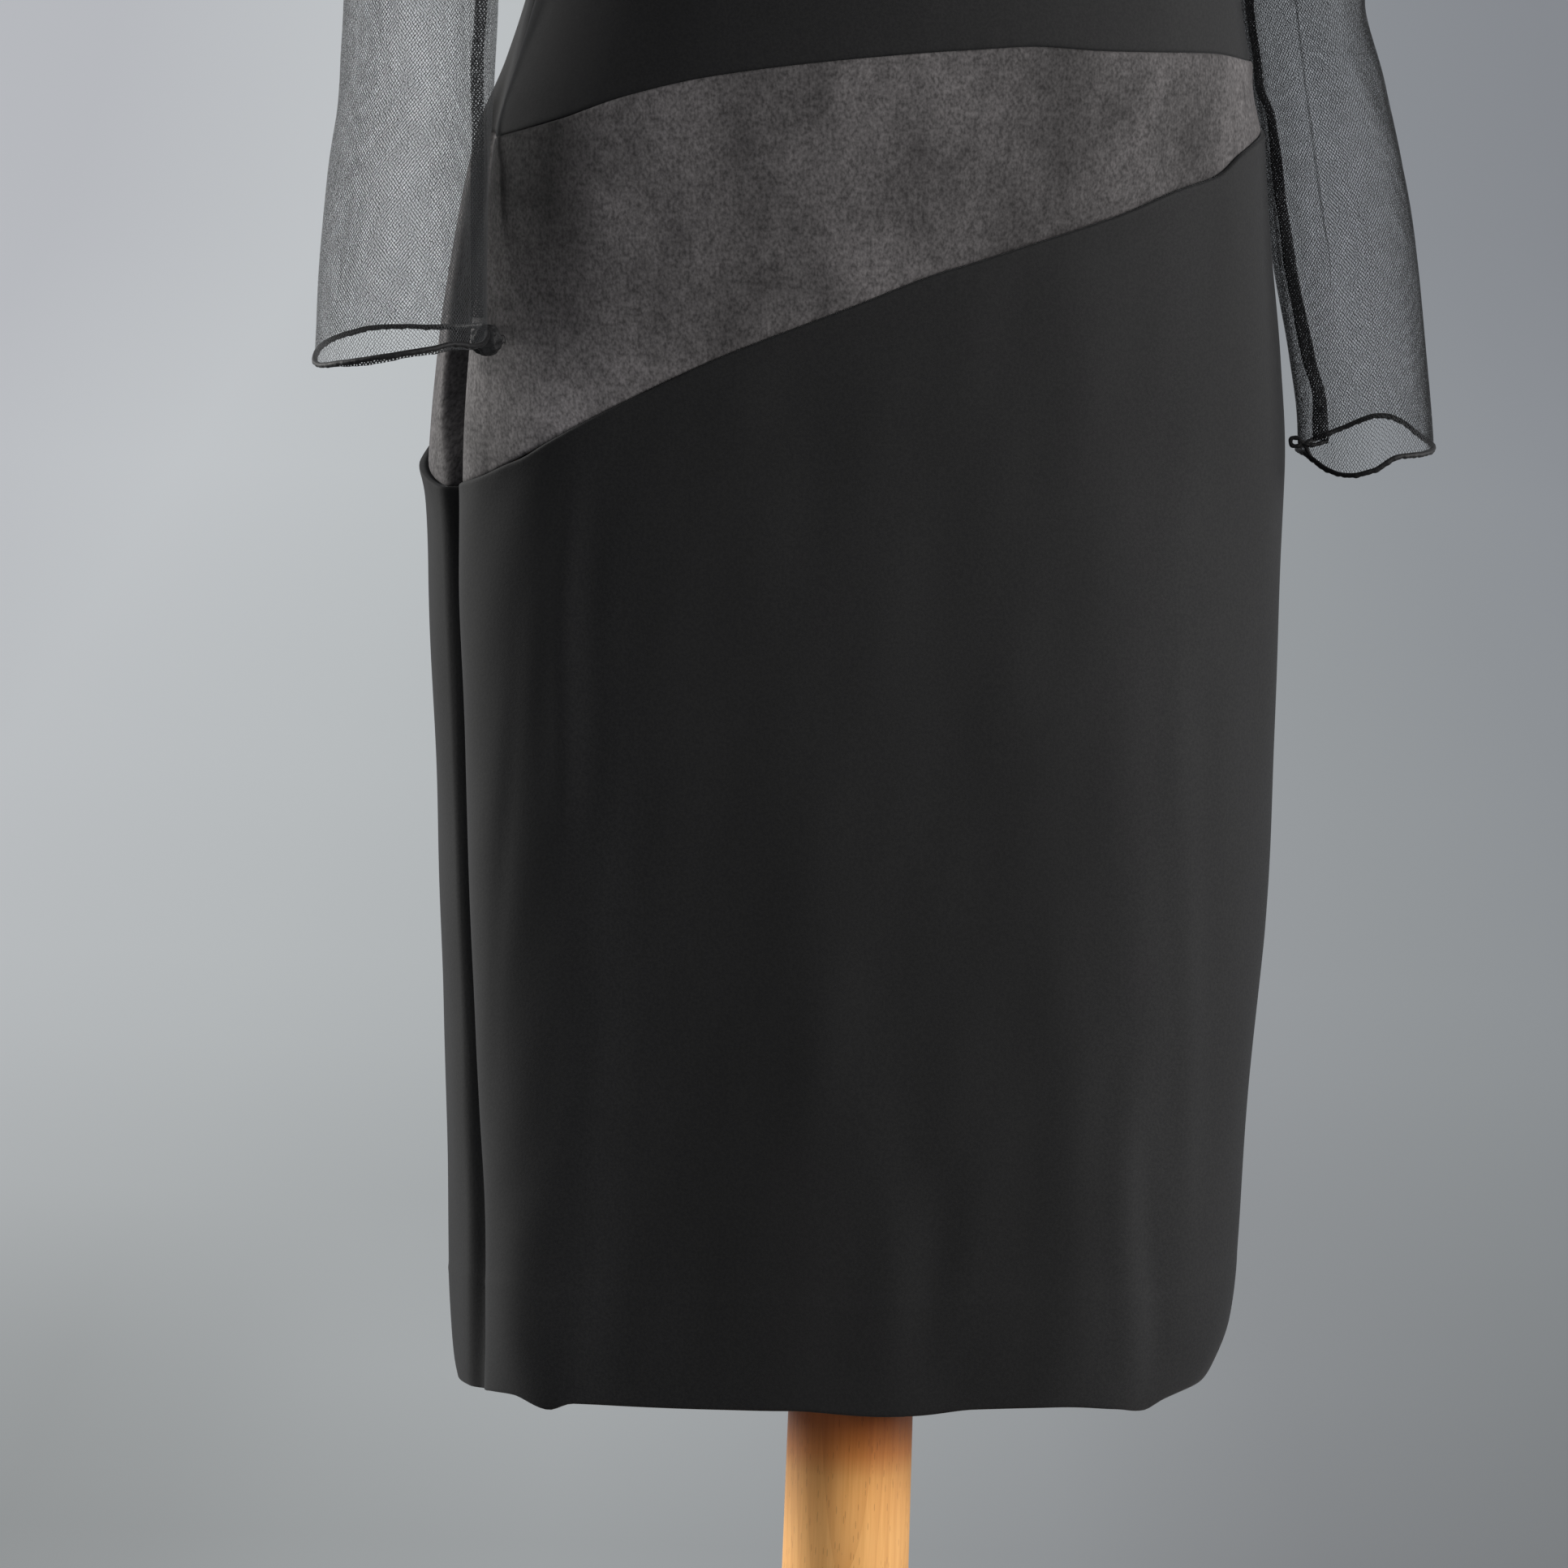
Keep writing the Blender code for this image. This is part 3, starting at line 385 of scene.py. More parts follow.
# Creases: a soft ridge (high > 0) or trough (high < 0) from one place to another.
# Across is measured along the surface from the panel's middle line, in metres, up is the height.
CREASES = {
    "skirt_front": [
        # across, up, across, up, wide, high
        (0.0985, 0.600, 0.1050, 0.430, 0.0095, 0.0015),
        (0.1190, 0.800, 0.1347, 0.452, 0.0100, 0.0015),
        (0.0900, 0.860, 0.1080, 0.560, 0.0200, 0.0009),
        (0.1120, 0.560, 0.1190, 0.425, 0.0070, -0.0008),
        (-0.0160, 0.580, -0.0110, 0.425, 0.0120, 0.0009),
        (0.0080, 0.550, 0.0108, 0.440, 0.0100, -0.0009),
        (0.0500, 0.740, 0.0560, 0.450, 0.0260, -0.0006),
        (-0.1396, 0.570, -0.1300, 0.440, 0.0200, -0.0013),
        (-0.1760, 0.855, -0.1710, 0.680, 0.0065, 0.0008),
        (-0.1620, 0.850, -0.1580, 0.650, 0.0080, -0.0007),
        (-0.1850, 0.530, -0.1780, 0.430, 0.0120, 0.0010),
        (-0.0900, 0.720, -0.0850, 0.430, 0.0240, -0.0006),
        (-0.0500, 0.660, -0.0480, 0.430, 0.0150, 0.0005),
        (0.0650, 0.640, 0.0760, 0.430, 0.0120, 0.0006),
        (-0.1200, 0.905, -0.0500, 0.880, 0.0140, -0.0004),
        (0.0350, 0.945, 0.1200, 0.962, 0.0120, -0.0004),
        (-0.2020, 0.800, -0.1980, 0.560, 0.0050, -0.0004),
    ],
    "skirt_back_left": [
        (-0.0350, 0.800, -0.0300, 0.430, 0.0180, -0.0010),
        (-0.0900, 0.760, -0.0980, 0.430, 0.0110, 0.0013),
        (-0.1350, 0.860, -0.1420, 0.450, 0.0140, -0.0009),
        (-0.1700, 0.700, -0.1800, 0.430, 0.0110, 0.0011),
        (-0.0600, 0.600, -0.0640, 0.430, 0.0100, 0.0008),
        (-0.2100, 0.900, -0.0400, 0.930, 0.0160, -0.0006),
        (-0.2300, 0.560, -0.2200, 0.440, 0.0100, -0.0008),
    ],
    "skirt_back_right": [
        (0.0300, 0.700, 0.0280, 0.430, 0.0130, 0.0010),
        (0.0700, 0.860, 0.0800, 0.430, 0.0200, -0.0012),
        (0.1200, 0.640, 0.1300, 0.430, 0.0110, 0.0012),
        (0.1620, 0.820, 0.1680, 0.500, 0.0140, -0.0008),
        (0.1980, 0.700, 0.2050, 0.440, 0.0090, 0.0009),
        (0.0400, 0.880, 0.2000, 0.845, 0.0150, -0.0006),
    ],
    "band_front": [
        (0.0945, 1.032, 0.0900, 0.965, 0.0060, 0.0004),
        (0.1067, 1.026, 0.1040, 0.962, 0.0068, -0.0007),
        (0.1204, 1.028, 0.1200, 0.976, 0.0050, 0.0006),
        (0.1309, 1.024, 0.1300, 0.978, 0.0048, -0.0007),
        (0.1425, 1.022, 0.1430, 0.984, 0.0040, 0.0006),
        (0.1535, 1.018, 0.1530, 0.988, 0.0026, -0.0007),
        (0.0600, 0.972, 0.0720, 0.952, 0.0060, -0.0007),
        (0.0300, 0.966, 0.0440, 0.950, 0.0070, 0.0005),
        (-0.1960, 0.893, -0.1560, 0.884, 0.0060, -0.0007),
        (-0.1960, 0.876, -0.1700, 0.868, 0.0050, 0.0005),
        (-0.1500, 0.990, -0.1300, 0.920, 0.0150, -0.0006),
        (-0.0800, 1.000, -0.0500, 0.925, 0.0180, 0.0005),
        (0.0000, 1.030, 0.0100, 0.960, 0.0140, -0.0004),
    ],
    "band_back_left": [
        (-0.0400, 1.015, -0.0440, 0.960, 0.0070, -0.0008),
        (-0.0900, 1.018, -0.0880, 0.975, 0.0060, 0.0009),
        (-0.1250, 1.018, -0.1240, 0.985, 0.0050, -0.0009),
        (-0.1500, 1.018, -0.1520, 0.990, 0.0040, 0.0008),
    ],
    "band_back_right": [
        (0.0250, 1.020, 0.0220, 0.940, 0.0070, -0.0008),
        (0.0700, 1.000, 0.0760, 0.900, 0.0120, 0.0007),
        (0.1200, 0.990, 0.1240, 0.880, 0.0100, -0.0008),
        (0.1700, 0.960, 0.1400, 0.865, 0.0080, 0.0007),
    ],
    "bodice_front": [
        (-0.0600, 1.075, -0.1300, 1.058, 0.0080, -0.0008),
        (-0.1500, 1.095, -0.0900, 1.108, 0.0070, 0.0008),
        (0.0500, 1.072, 0.1350, 1.056, 0.0080, -0.0008),
        (0.1500, 1.098, 0.0900, 1.112, 0.0080, 0.0007),
        (-0.1550, 1.135, -0.1000, 1.150, 0.0080, -0.0007),
        (0.1580, 1.130, 0.1050, 1.142, 0.0080, -0.0008),
        (-0.0100, 1.190, -0.0150, 1.060, 0.0160, -0.0009),
        (0.0450, 1.180, 0.0520, 1.050, 0.0120, 0.0006),
        (-0.0600, 1.170, -0.0700, 1.050, 0.0130, 0.0006),
        (-0.1550, 1.330, -0.1100, 1.275, 0.0100, 0.0012),
        (0.1540, 1.325, 0.1120, 1.280, 0.0110, 0.0011),
        (-0.1300, 1.350, -0.0800, 1.320, 0.0120, -0.0008),
        (0.1320, 1.352, 0.0850, 1.316, 0.0120, -0.0008),
        (-0.0500, 1.395, 0.0500, 1.390, 0.0110, -0.0005),
    ],
    "bodice_back_left": [
        (-0.0200, 1.100, -0.1300, 1.085, 0.0090, -0.0012),
        (-0.0300, 1.125, -0.1250, 1.118, 0.0080, 0.0010),
        (-0.0200, 1.070, -0.1200, 1.058, 0.0080, 0.0008),
        (-0.1500, 1.240, -0.1100, 1.330, 0.0130, 0.0011),
        (-0.0800, 1.400, -0.1400, 1.360, 0.0120, -0.0009),
        (-0.0500, 1.340, -0.0480, 1.220, 0.0160, -0.0006),
    ],
    "bodice_back_right": [
        (0.0200, 1.108, 0.1200, 1.090, 0.0090, -0.0011),
        (0.0250, 1.080, 0.1300, 1.066, 0.0080, 0.0009),
        (0.0300, 1.135, 0.1250, 1.128, 0.0090, 0.0008),
        (0.1480, 1.235, 0.1120, 1.322, 0.0130, 0.0011),
        (0.0700, 1.410, 0.1380, 1.365, 0.0120, -0.0009),
        (0.0450, 1.350, 0.0500, 1.210, 0.0150, -0.0006),
    ],
    # On the sleeves across is the angle round the sleeve, in degrees, as in SLEEVE tables.
    "sleeve_right": [
        (60.0, 1.135, 165.0, 1.175, 0.0080, -0.0016),
        (50.0, 1.165, 150.0, 1.205, 0.0090, 0.0014),
        (70.0, 1.105, 150.0, 1.130, 0.0080, 0.0013),
        (200.0, 1.150, 300.0, 1.120, 0.0090, -0.0014),
        (210.0, 1.180, 310.0, 1.150, 0.0080, 0.0012),
        (112.0, 1.080, 118.0, 0.900, 0.0060, 0.0009),
        (88.0, 1.060, 96.0, 0.905, 0.0070, -0.0008),
        (140.0, 1.000, 150.0, 0.890, 0.0060, -0.0008),
        (250.0, 1.080, 262.0, 0.900, 0.0070, 0.0010),
        (300.0, 1.000, 290.0, 0.905, 0.0060, -0.0008),
        (60.0, 0.925, 78.0, 0.890, 0.0045, 0.0009),
        (170.0, 1.290, 120.0, 1.235, 0.0100, 0.0012),
        (195.0, 1.300, 245.0, 1.240, 0.0100, -0.0011),
        (150.0, 1.340, 130.0, 1.280, 0.0080, -0.0008),
        (20.0, 1.060, 22.0, 0.910, 0.0050, -0.0006),
    ],
    "sleeve_left": [
        (60.0, 1.120, 170.0, 1.165, 0.0080, -0.0015),
        (55.0, 1.150, 150.0, 1.195, 0.0090, 0.0014),
        (60.0, 1.090, 160.0, 1.118, 0.0080, 0.0012),
        (200.0, 1.145, 300.0, 1.110, 0.0090, -0.0014),
        (215.0, 1.178, 310.0, 1.140, 0.0080, 0.0012),
        (44.5, 1.075, 49.0, 0.905, 0.0016, 0.0013),
        (38.0, 1.060, 41.0, 0.900, 0.0045, -0.0007),
        (75.0, 1.050, 82.0, 0.870, 0.0060, 0.0009),
        (110.0, 1.060, 104.0, 0.860, 0.0070, -0.0009),
        (135.0, 1.000, 142.0, 0.855, 0.0050, 0.0009),
        (240.0, 1.060, 256.0, 0.860, 0.0070, 0.0010),
        (300.0, 0.960, 310.0, 0.850, 0.0055, -0.0008),
        (12.0, 0.905, 36.0, 0.848, 0.0035, 0.0008),
        (168.0, 1.285, 118.0, 1.232, 0.0100, 0.0012),
        (200.0, 1.295, 250.0, 1.238, 0.0100, -0.0011),
        (150.0, 1.335, 126.0, 1.275, 0.0080, -0.0008),
    ],
}
# Darts: pressed grooves that end in a point, in the same measures.
DARTS = {
    "bodice_front": [
        (-0.1720, 1.178, -0.1050, 1.218),
        (0.1720, 1.178, 0.1050, 1.218),
    ],
    "bodice_back_left": [(-0.0720, 1.190, -0.0740, 1.020)],
    "bodice_back_right": [(0.0740, 1.190, 0.0750, 1.010)],
    "skirt_back_left": [(-0.0760, 0.975, -0.0800, 0.860)],
    "skirt_back_right": [(0.0760, 0.930, 0.0800, 0.820)],
}
# Unevenness of hung cloth: waves per metre across and up, phase, height.
RIPPLES = [
    (7.0, 1.3, 0.4, 0.00050),
    (12.0, -2.1, 2.1, 0.00032),
    (19.0, 3.7, 4.4, 0.00018),
    (31.0, -9.0, 1.3, 0.00007),
    (5.0, 11.0, 5.2, 0.00014),
]


def spaced(length, fine=0.0005, grow=1.5, most=0.0036):
    """Shares from 0 to 1 with close steps at both ends."""
    ends = [0.0]
    step = fine
    while step < most and ends[-1] < length / 4:
        ends.append(ends[-1] + step)
        step *= grow
    ends = np.array(ends)
    count = max(2, int(round((length - 2 * ends[-1]) / most)) + 1)
    middle = np.linspace(ends[-1], length - ends[-1], count)
    return np.hstack([ends[:-1], middle, (length - ends[:-1])[::-1]]) / length


def even_turns(first, last, shares):
    """Angles that lie at these shares of the way round the hip's section."""
    t = np.linspace(first, last, 801)
    p = section(t, 0.72)
    way = np.append(0, np.cumsum(np.linalg.norm(np.diff(p, axis=0), axis=1)))
    return np.interp(np.asarray(shares) * way[-1], way, t)


def swing(turns, z):
    """Moves the columns beside the wearer's right side seam with that seam."""
    t = np.broadcast_to(turns, np.shape(z)).copy()
    shift = side_right(z) + SIDE_LEFT
    turn = (t + 180) % 360 - 180
    share = np.clip((-turn - 30) / (SIDE_LEFT - 30), 0, None)
    share = np.where(share > 1, np.clip((180 + turn) / (180 - SIDE_LEFT), 0, 1), share)
    return t + shift * share


def rows_between(low, high, turns, shares):
    shares = np.asarray(shares)[:, None]
    z = low(turns)[None] * (1 - shares) + high(turns)[None] * shares
    for _ in range(3):
        t = swing(turns, z)
        z = low(t) * (1 - shares) + high(t) * shares
    return swing(turns, z), z


def underarm(t):
    return np.full(np.shape(t), UNDERARM)


def neckline(t, front):
    middle, reach = (0.0, SIDE_LEFT) if front else (180.0, 180.0 - SIDE_LEFT)
    u = np.abs(np.asarray(t) - middle) / reach
    inside = np.clip(u / COLLAR_U, 0, 1)
    return 1 - (DIP_FRONT if front else DIP_BACK) * (1 - inside**1.6)


def unit(v):
    return v / np.maximum(np.linalg.norm(v, axis=-1, keepdims=True), 1e-12)


def normals(grid, tube=False):
    if tube:
        wide = np.roll(grid, -1, 1) - np.roll(grid, 1, 1)
    else:
        wide = np.gradient(grid, axis=1)
    return unit(np.cross(wide, np.gradient(grid, axis=0)))


def run(grid, axis):
    """Length along the surface from the grid's first row or column."""
    step = np.linalg.norm(np.diff(grid, axis=axis), axis=-1)
    pad = [(0, 0), (0, 0)]
    pad[axis] = (1, 0)
    return np.pad(np.cumsum(step, axis=axis), pad)


def blend(x, low, high):
    s = np.clip((x - low) / (high - low), 0, 1)
    return s * s * (3 - 2 * s)


def creased(across, up, rows):
    total = np.zeros(across.shape)
    for a0, u0, a1, u1, wide, high in rows:
        da, du = a1 - a0, u1 - u0
        long = math.hypot(da, du)
        along = ((across - a0) * da + (up - u0) * du) / long**2
        off = ((across - a0) * du - (up - u0) * da) / long
        off = off + wide * 0.35 * np.sin(along * 5.0 + a0 * 90)  # no crease is ruled straight
        fade = np.cos(np.pi * np.clip(along - 0.5, -0.5, 0.5)) ** 0.8
        total += high * fade * np.exp(-((off / wide) ** 2))
    return total


def darted(across, up, rows):
    total = np.zeros(across.shape)
    for a0, u0, a1, u1 in rows:
        da, du = a1 - a0, u1 - u0
        long = math.hypot(da, du)
        along = ((across - a0) * da + (up - u0) * du) / long**2
        off = ((across - a0) * du - (up - u0) * da) / long
        inside = blend(along, -0.02, 0.02) * (1 - blend(along, 0.80, 1.0))
        total -= inside * (0.0007 * np.exp(-((off / 0.0011) ** 2)))
        total += inside * (0.0004 * np.exp(-(((off - 0.004) / 0.004) ** 2)))
    return total


def rippled(across, up):
    total = np.zeros(across.shape)
    for x, y, phase, high in RIPPLES:
        total += high * np.sin(2 * np.pi * (x * across + y * up) + phase + 0.9 * np.sin(5.1 * up + phase))
    return total


def turned_in(d, wide, deep):
    """How far a sewn edge has turned in, at a distance from it."""
    s = np.clip(1 - d / wide, 0, 1)
    return deep * (1 - np.sqrt(1 - np.minimum(s, 0.999) ** 2))


def puckers(d, along, phase):
    """Small gathers that a seam's stitches leave beside it."""
    wave = np.sin(along * 2 * np.pi / 0.0125 + 1.7 * np.sin(along * 41 + phase) + phase)
    return 0.00010 * wave * np.exp(-d / 0.0045) * blend(d, 0, 0.001)


# ---------------------------------------------------------------- meshes
def grid_mesh(name, outer, inner, across, up, tube=False):
    """A closed shell between two grids of points, with a map in metres for its weave."""
    rows, columns = outer.shape[:2]
    index = np.arange(rows * columns).reshape(rows, columns)
    if tube:
        index = np.hstack([index, index[:, :1]])
    flat = np.stack([across, up], -1)
    inside = rows * columns

    def quads(g):
        return np.stack([g[:-1, :-1], g[:-1, 1:], g[1:, 1:], g[1:, :-1]], -2)

    corners = quads(index[..., None])[..., 0].reshape(-1, 4)
    maps = quads(flat).reshape(-1, 4, 2)
    faces = [corners, corners[:, ::-1] + inside]
    uv = [maps, maps[:, ::-1]]

    def rim(edge, edge_uv):
        a, b = edge[:-1], edge[1:]
        faces.append(np.stack([b, a, a + inside, b + inside], -1))
        m, n = edge_uv[:-1], edge_uv[1:]
        uv.append(np.stack([n, m, m + 0.0003, n + 0.0003], 1))

    rim(index[0], flat[0])
    rim(index[-1, ::-1], flat[-1, ::-1])
    if not tube:
        rim(index[::-1, 0], flat[::-1, 0])
        rim(index[:, -1], flat[:, -1])
    faces = np.concatenate(faces)
    uv = np.concatenate(uv)
    points = np.concatenate([outer.reshape(-1, 3), inner.reshape(-1, 3)])
    return mesh_of(name, points, faces, uv)


def mesh_of(name, points, faces, uv=None):
    mesh = bpy.data.meshes.new(name)
    mesh.from_pydata(points.tolist(), [], faces.tolist())
    if uv is not None:
        layer = mesh.uv_layers.new(name="cloth")
        layer.data.foreach_set("uv", np.ascontiguousarray(uv, np.float32).ravel())
    mesh.update()
    # Outward faces have a positive volume.
    p = points[faces]
    volume = np.einsum("ij,ij->i", p[:, 0], np.cross(p[:, 1], p[:, 2])).sum()
    volume += np.einsum("ij,ij->i", p[:, 0], np.cross(p[:, 2], p[:, -1])).sum()
    if volume < 0:
        mesh.flip_normals()
    mesh.shade_smooth()
    obj = bpy.data.objects.new(name, mesh)
    bpy.context.scene.collection.objects.link(obj)
    return obj


def tube_mesh(name, path, radius, sides=10, closed=False):
    """A round cord along a path of points; radius may vary along it."""
    path = np.asarray(path, float)
    count = len(path)
    radius = np.broadcast_to(radius, (count,))
    if closed:
        along = unit(np.roll(path, -1, 0) - np.roll(path, 1, 0))
    else:
        along = unit(np.gradient(path, axis=0))
    frame_u = unit(np.cross(along[0], (0.31, 0.17, 0.93)))
    ups = []
    for k in range(count):
        frame_u = unit(frame_u - along[k] * frame_u.dot(along[k]))
        ups.append(frame_u)
    ups = np.array(ups)
    over = np.cross(along, ups)
    turn = np.arange(sides) * 2 * np.pi / sides
    ring = (
        path[:, None]
        + radius[:, None, None]
        * (np.cos(turn)[None, :, None] * ups[:, None] + np.sin(turn)[None, :, None] * over[:, None])
    )
    index = np.arange(count * sides).reshape(count, sides)
    index = np.hstack([index, index[:, :1]])
    length = run(path[:, None], 0)[:, 0]
    u = np.append(turn, 2 * np.pi) * radius.mean()
    if closed:
        # The ring of points meets its start where the carried frame has turned a little.
        best = min(range(sides), key=lambda k: np.linalg.norm(ring[-1] - np.roll(ring[0], k, 0), axis=1).sum())
        first = np.roll(index[0, :-1], best)
        index = np.vstack([index, np.append(first, first[0])])
        length = np.append(length, length[-1] + np.linalg.norm(path[0] - path[-1]))
    flat = np.stack(np.broadcast_arrays(u[None], length[:, None]), -1)
    corners = np.stack([index[:-1, :-1], index[:-1, 1:], index[1:, 1:], index[1:, :-1]], -1).reshape(-1, 4)
    uv = np.stack([flat[:-1, :-1], flat[:-1, 1:], flat[1:, 1:], flat[1:, :-1]], -2).reshape(-1, 4, 2)
    points = ring.reshape(-1, 3)
    if closed:
        return mesh_of(name, points, corners, uv)
    # Rounded ends: a point beyond each end.
    tips = np.array([path[0] - along[0] * radius[0] * 0.6, path[-1] + along[-1] * radius[-1] * 0.6])
    total = len(points)
    points = np.vstack([points, tips])
    caps = []
    cap_uv = []
    for k in range(0, sides, 2):
        a, b, c = index[0, k], index[0, (k + 1) % sides], index[0, (k + 2) % sides]
        caps.append((total, c, b, a))
        a, b, c = index[count - 1, k], index[count - 1, (k + 1) % sides], index[count - 1, (k + 2) % sides]
        caps.append((total + 1, a, b, c))
        cap_uv += [np.zeros((4, 2)), np.zeros((4, 2))]
    return mesh_of(name, points, np.vstack([corners, caps]), np.concatenate([uv, cap_uv]))


# ---------------------------------------------------------------- bodice, band and skirt
def panel(part, side):
    """Points, the points under them and cloth measures of a panel, with their angles."""
    front = side == "front"
    if front:
        first, last, middle, width = -SIDE_LEFT, SIDE_LEFT, 0.0, 0.53
    elif side == "back_left":
        first, last, middle, width = SIDE_LEFT, CENTRE_BACK, CENTRE_BACK, 0.265
    else:
        first, last, middle, width = CENTRE_BACK, 360 - SIDE_LEFT, CENTRE_BACK, 0.265
    shares = spaced(width)
    if side == "back_right":  # the roll beside the seam is drawn finely
        away = np.arange(0.0050, 0.0285, 0.0012)
        kept = shares[((1 - shares) * width < 0.0046) | ((1 - shares) * width > 0.0290)]
        shares = np.sort(np.concatenate([kept, 1 - away / width]))
    turns = even_turns(first, last, shares)
    seam_at = swing(turns, np.full(len(turns), 0.7))
    if part == "skirt":
        t, z = rows_between(hem, skirt_top, turns, spaced(0.50))
        away = seam_low(t) - z
        stand = PROUD + LIP * np.exp(-away / LIP_FADE)
        # At the wearer's right the back's upper edge stands off and curls out.
        turn = (t + 180) % 360 - 180
        stand = stand + 0.0026 * np.exp(-(((turn + 103) / 11) ** 2) - away / 0.010) * (not front)
        points, under = body(t, z, stand), body(t, z)
        up = z
    elif part == "band":
        t, z = rows_between(seam_low, seam_high, turns, spaced(0.13))
        points = under = body(t, z)
        up = z
    else:
        t, z = rows_between(seam_high, underarm, turns, spaced(0.29)[: -4])
        low = body(t, z)
        w = spaced(0.17)
        w = np.hstack([np.linspace(0, w[5], 3)[:-1], w[5:]]) * 1.0
        high = yoke(turns[None], w[:, None] * neckline(turns, front)[None], front)
        keep = low[..., 2].max(1) < UNDERARM - 0.0012
        low = low[keep]
        points = under = np.vstack([low, high])
        t = np.vstack([t[keep], np.broadcast_to(turns, (len(w), len(turns)))])
        climb = run(high, 0)
        up = np.vstack([low[..., 2], UNDERARM + climb])
    # Measures along the cloth: across from the panel's middle line, and from each edge.
    wide = run(points, 1)
    if front:
        centre = np.array([np.interp(middle, t[j], wide[j]) for j in range(len(t))])
        across = wide - centre[:, None]
    elif side == "back_left":
        across = wide - wide[:, -1:]
    else:
        across = wide
    tall = run(points, 0)
    edges = {
        "first": wide,
        "last": wide[:, -1:] - wide,
        "low": tall,
        "high": tall[-1:] - tall,
    }
    return points, under, across, up, edges, t, turns, seam_at


def skirt_top(t):
    """The skirt's upper edge; in one place beside the wearer's right seam it gapes a little."""
    gape = 0.0011 * np.exp(-(((np.asarray(t) + 60.4) / 3.4) ** 2))
    return seam_low(t) - gape


def shoulder_normals(points, facing, front):
    """Along the shoulder seams both panels stand on a plane across the seam."""
    ridge = unit(np.array((NECK_Z - SHOULDER_Z, 0, SHOULDER_X - NECK_X)))
    x = points[-1, :, 0]
    seamed = np.abs(x) > NECK_X + (SHOULDER_X - NECK_X) * 0.12
    side = np.sign(x)[:, None]
    plane = ridge * np.hstack([side, np.zeros_like(side), np.ones_like(side)])
    d = run(points, 0)
    near = np.exp(-((d[-1:] - d) / 0.006))[..., None] * seamed[None, :, None]
    return unit(facing * (1 - near) + plane[None] * near)


pieces = {}
edge_loops = {}
for side in ("front", "back_left", "back_right"):
    for part in ("skirt", "band", "bodice"):
        name = f"{part}_{side}"
        points, under, across, up, edges, t, turns, _ = panel(part, side)
        facing = normals(points)
        facing_under = normals(under) if under is not points else facing
        if part == "bodice":
            facing = facing_under = shoulder_normals(points, facing, side == "front")
        relief = creased(across, up, CREASES.get(name, ())) + darted(across, up, DARTS.get(name, ()))
        relief = relief + rippled(across, up) * (0.35 if part == "bodice" else 0.6 if part == "band" else 1.0)
        # Creases fade towards seams, whose layers are stiffer, except the hem.
        still = 0.25 + 0.75 * blend(np.minimum(edges["first"], edges["last"]), 0, 0.020)
        still = still * (0.3 + 0.7 * blend(edges["high"], 0, 0.016))
        if part != "skirt":
            still = still * (0.3 + 0.7 * blend(edges["low"], 0, 0.016))
        relief = relief * still
        # At the wearer's left the band stands a little proud of the bodice and rounds its corner.
        if part != "skirt":
            bulge = 0.0021 if part == "band" else 0.0012
            relief = relief + bulge * np.exp(-(((t - 81) / 15) ** 2) - ((points[..., 2] - 1.022) / (0.011 if part == "band" else 0.030)) ** 2)
        shape = relief  # both faces of the shell follow the creases, the rest is on the outer face only
        thick = CREPE if part != "band" else SATIN
        relief = relief + puckers(edges["high"], across, 0.5) + puckers(edges["first"], up, 1.9) + puckers(edges["last"], up, 3.1)
        relief = relief - turned_in(edges["first"], ROLL_WIDE, ROLL_DEEP) - turned_in(edges["last"], ROLL_WIDE, ROLL_DEEP)
        inset = np.full(across.shape, thick)
        if part == "skirt":
            relief = relief - turned_in(edges["high"], 0.0016, 0.0008)
            allowance = 1 - blend(up - hem(t), TURN_UP - 0.0015, TURN_UP + 0.0015)
            inset = inset + TURN_UP_THICK * allowance
            relief = relief + 0.00018 * allowance  # the allowance shows as the faintest step
            relief = relief + 0.00022 * np.exp(-(((up - hem(t) - TURN_UP) / 0.0016) ** 2))
            half = (thick + TURN_UP_THICK) / 2
            fold = turned_in(edges["low"], half, half * 0.96)
            relief = relief - fold
            inset = inset - fold * 1.0
        else:
            relief = relief - turned_in(edges["low"], ROLL_WIDE, ROLL_DEEP)
            relief = relief + puckers(edges["low"], across, 4.0)
            if part == "bodice":
                seamed = np.abs(points[-1:, :, 0]) > NECK_X + (SHOULDER_X - NECK_X) * 0.12
                # The neckline is faced and pressed to a thin fold, the shoulder and armhole edges are sewn.
                relief = relief - turned_in(edges["high"], ROLL_WIDE, ROLL_DEEP) * seamed
                relief = relief - turned_in(edges["high"], 0.0007, 0.0005) * ~seamed
                relief = relief - 0.00025 * np.exp(-(((edges["high"] - 0.0065) / 0.0008) ** 2)) * ~seamed
            else:
                relief = relief - turned_in(edges["high"], ROLL_WIDE, ROLL_DEEP)
        outer = points + facing * relief[..., None]
        inner = under + facing_under * (shape - inset)[..., None]
        if under is points:
            inner = inner + facing * np.minimum(relief - shape, 0)[..., None] * 0.6
        # A hair's gap where two shells meet.
        for edge, beside in (
            (np.s_[0], np.s_[1]),
            (np.s_[-1], np.s_[-2]),
            (np.s_[:, 0], np.s_[:, 1]),
            (np.s_[:, -1], np.s_[:, -2]),
        ):
            d = unit(points[beside] - points[edge]) * JOIN
            outer[edge] += d
            inner[edge] += d
        pieces[name] = grid_mesh("cloth_" + name, outer, inner, across, up)
        if part == "bodice":
            start = int(np.argmin(np.abs(up[:, 0] - UNDERARM)))
            shares = (up[start:, 0] - UNDERARM)
            edge_loops[side] = (points, facing, start, turns)

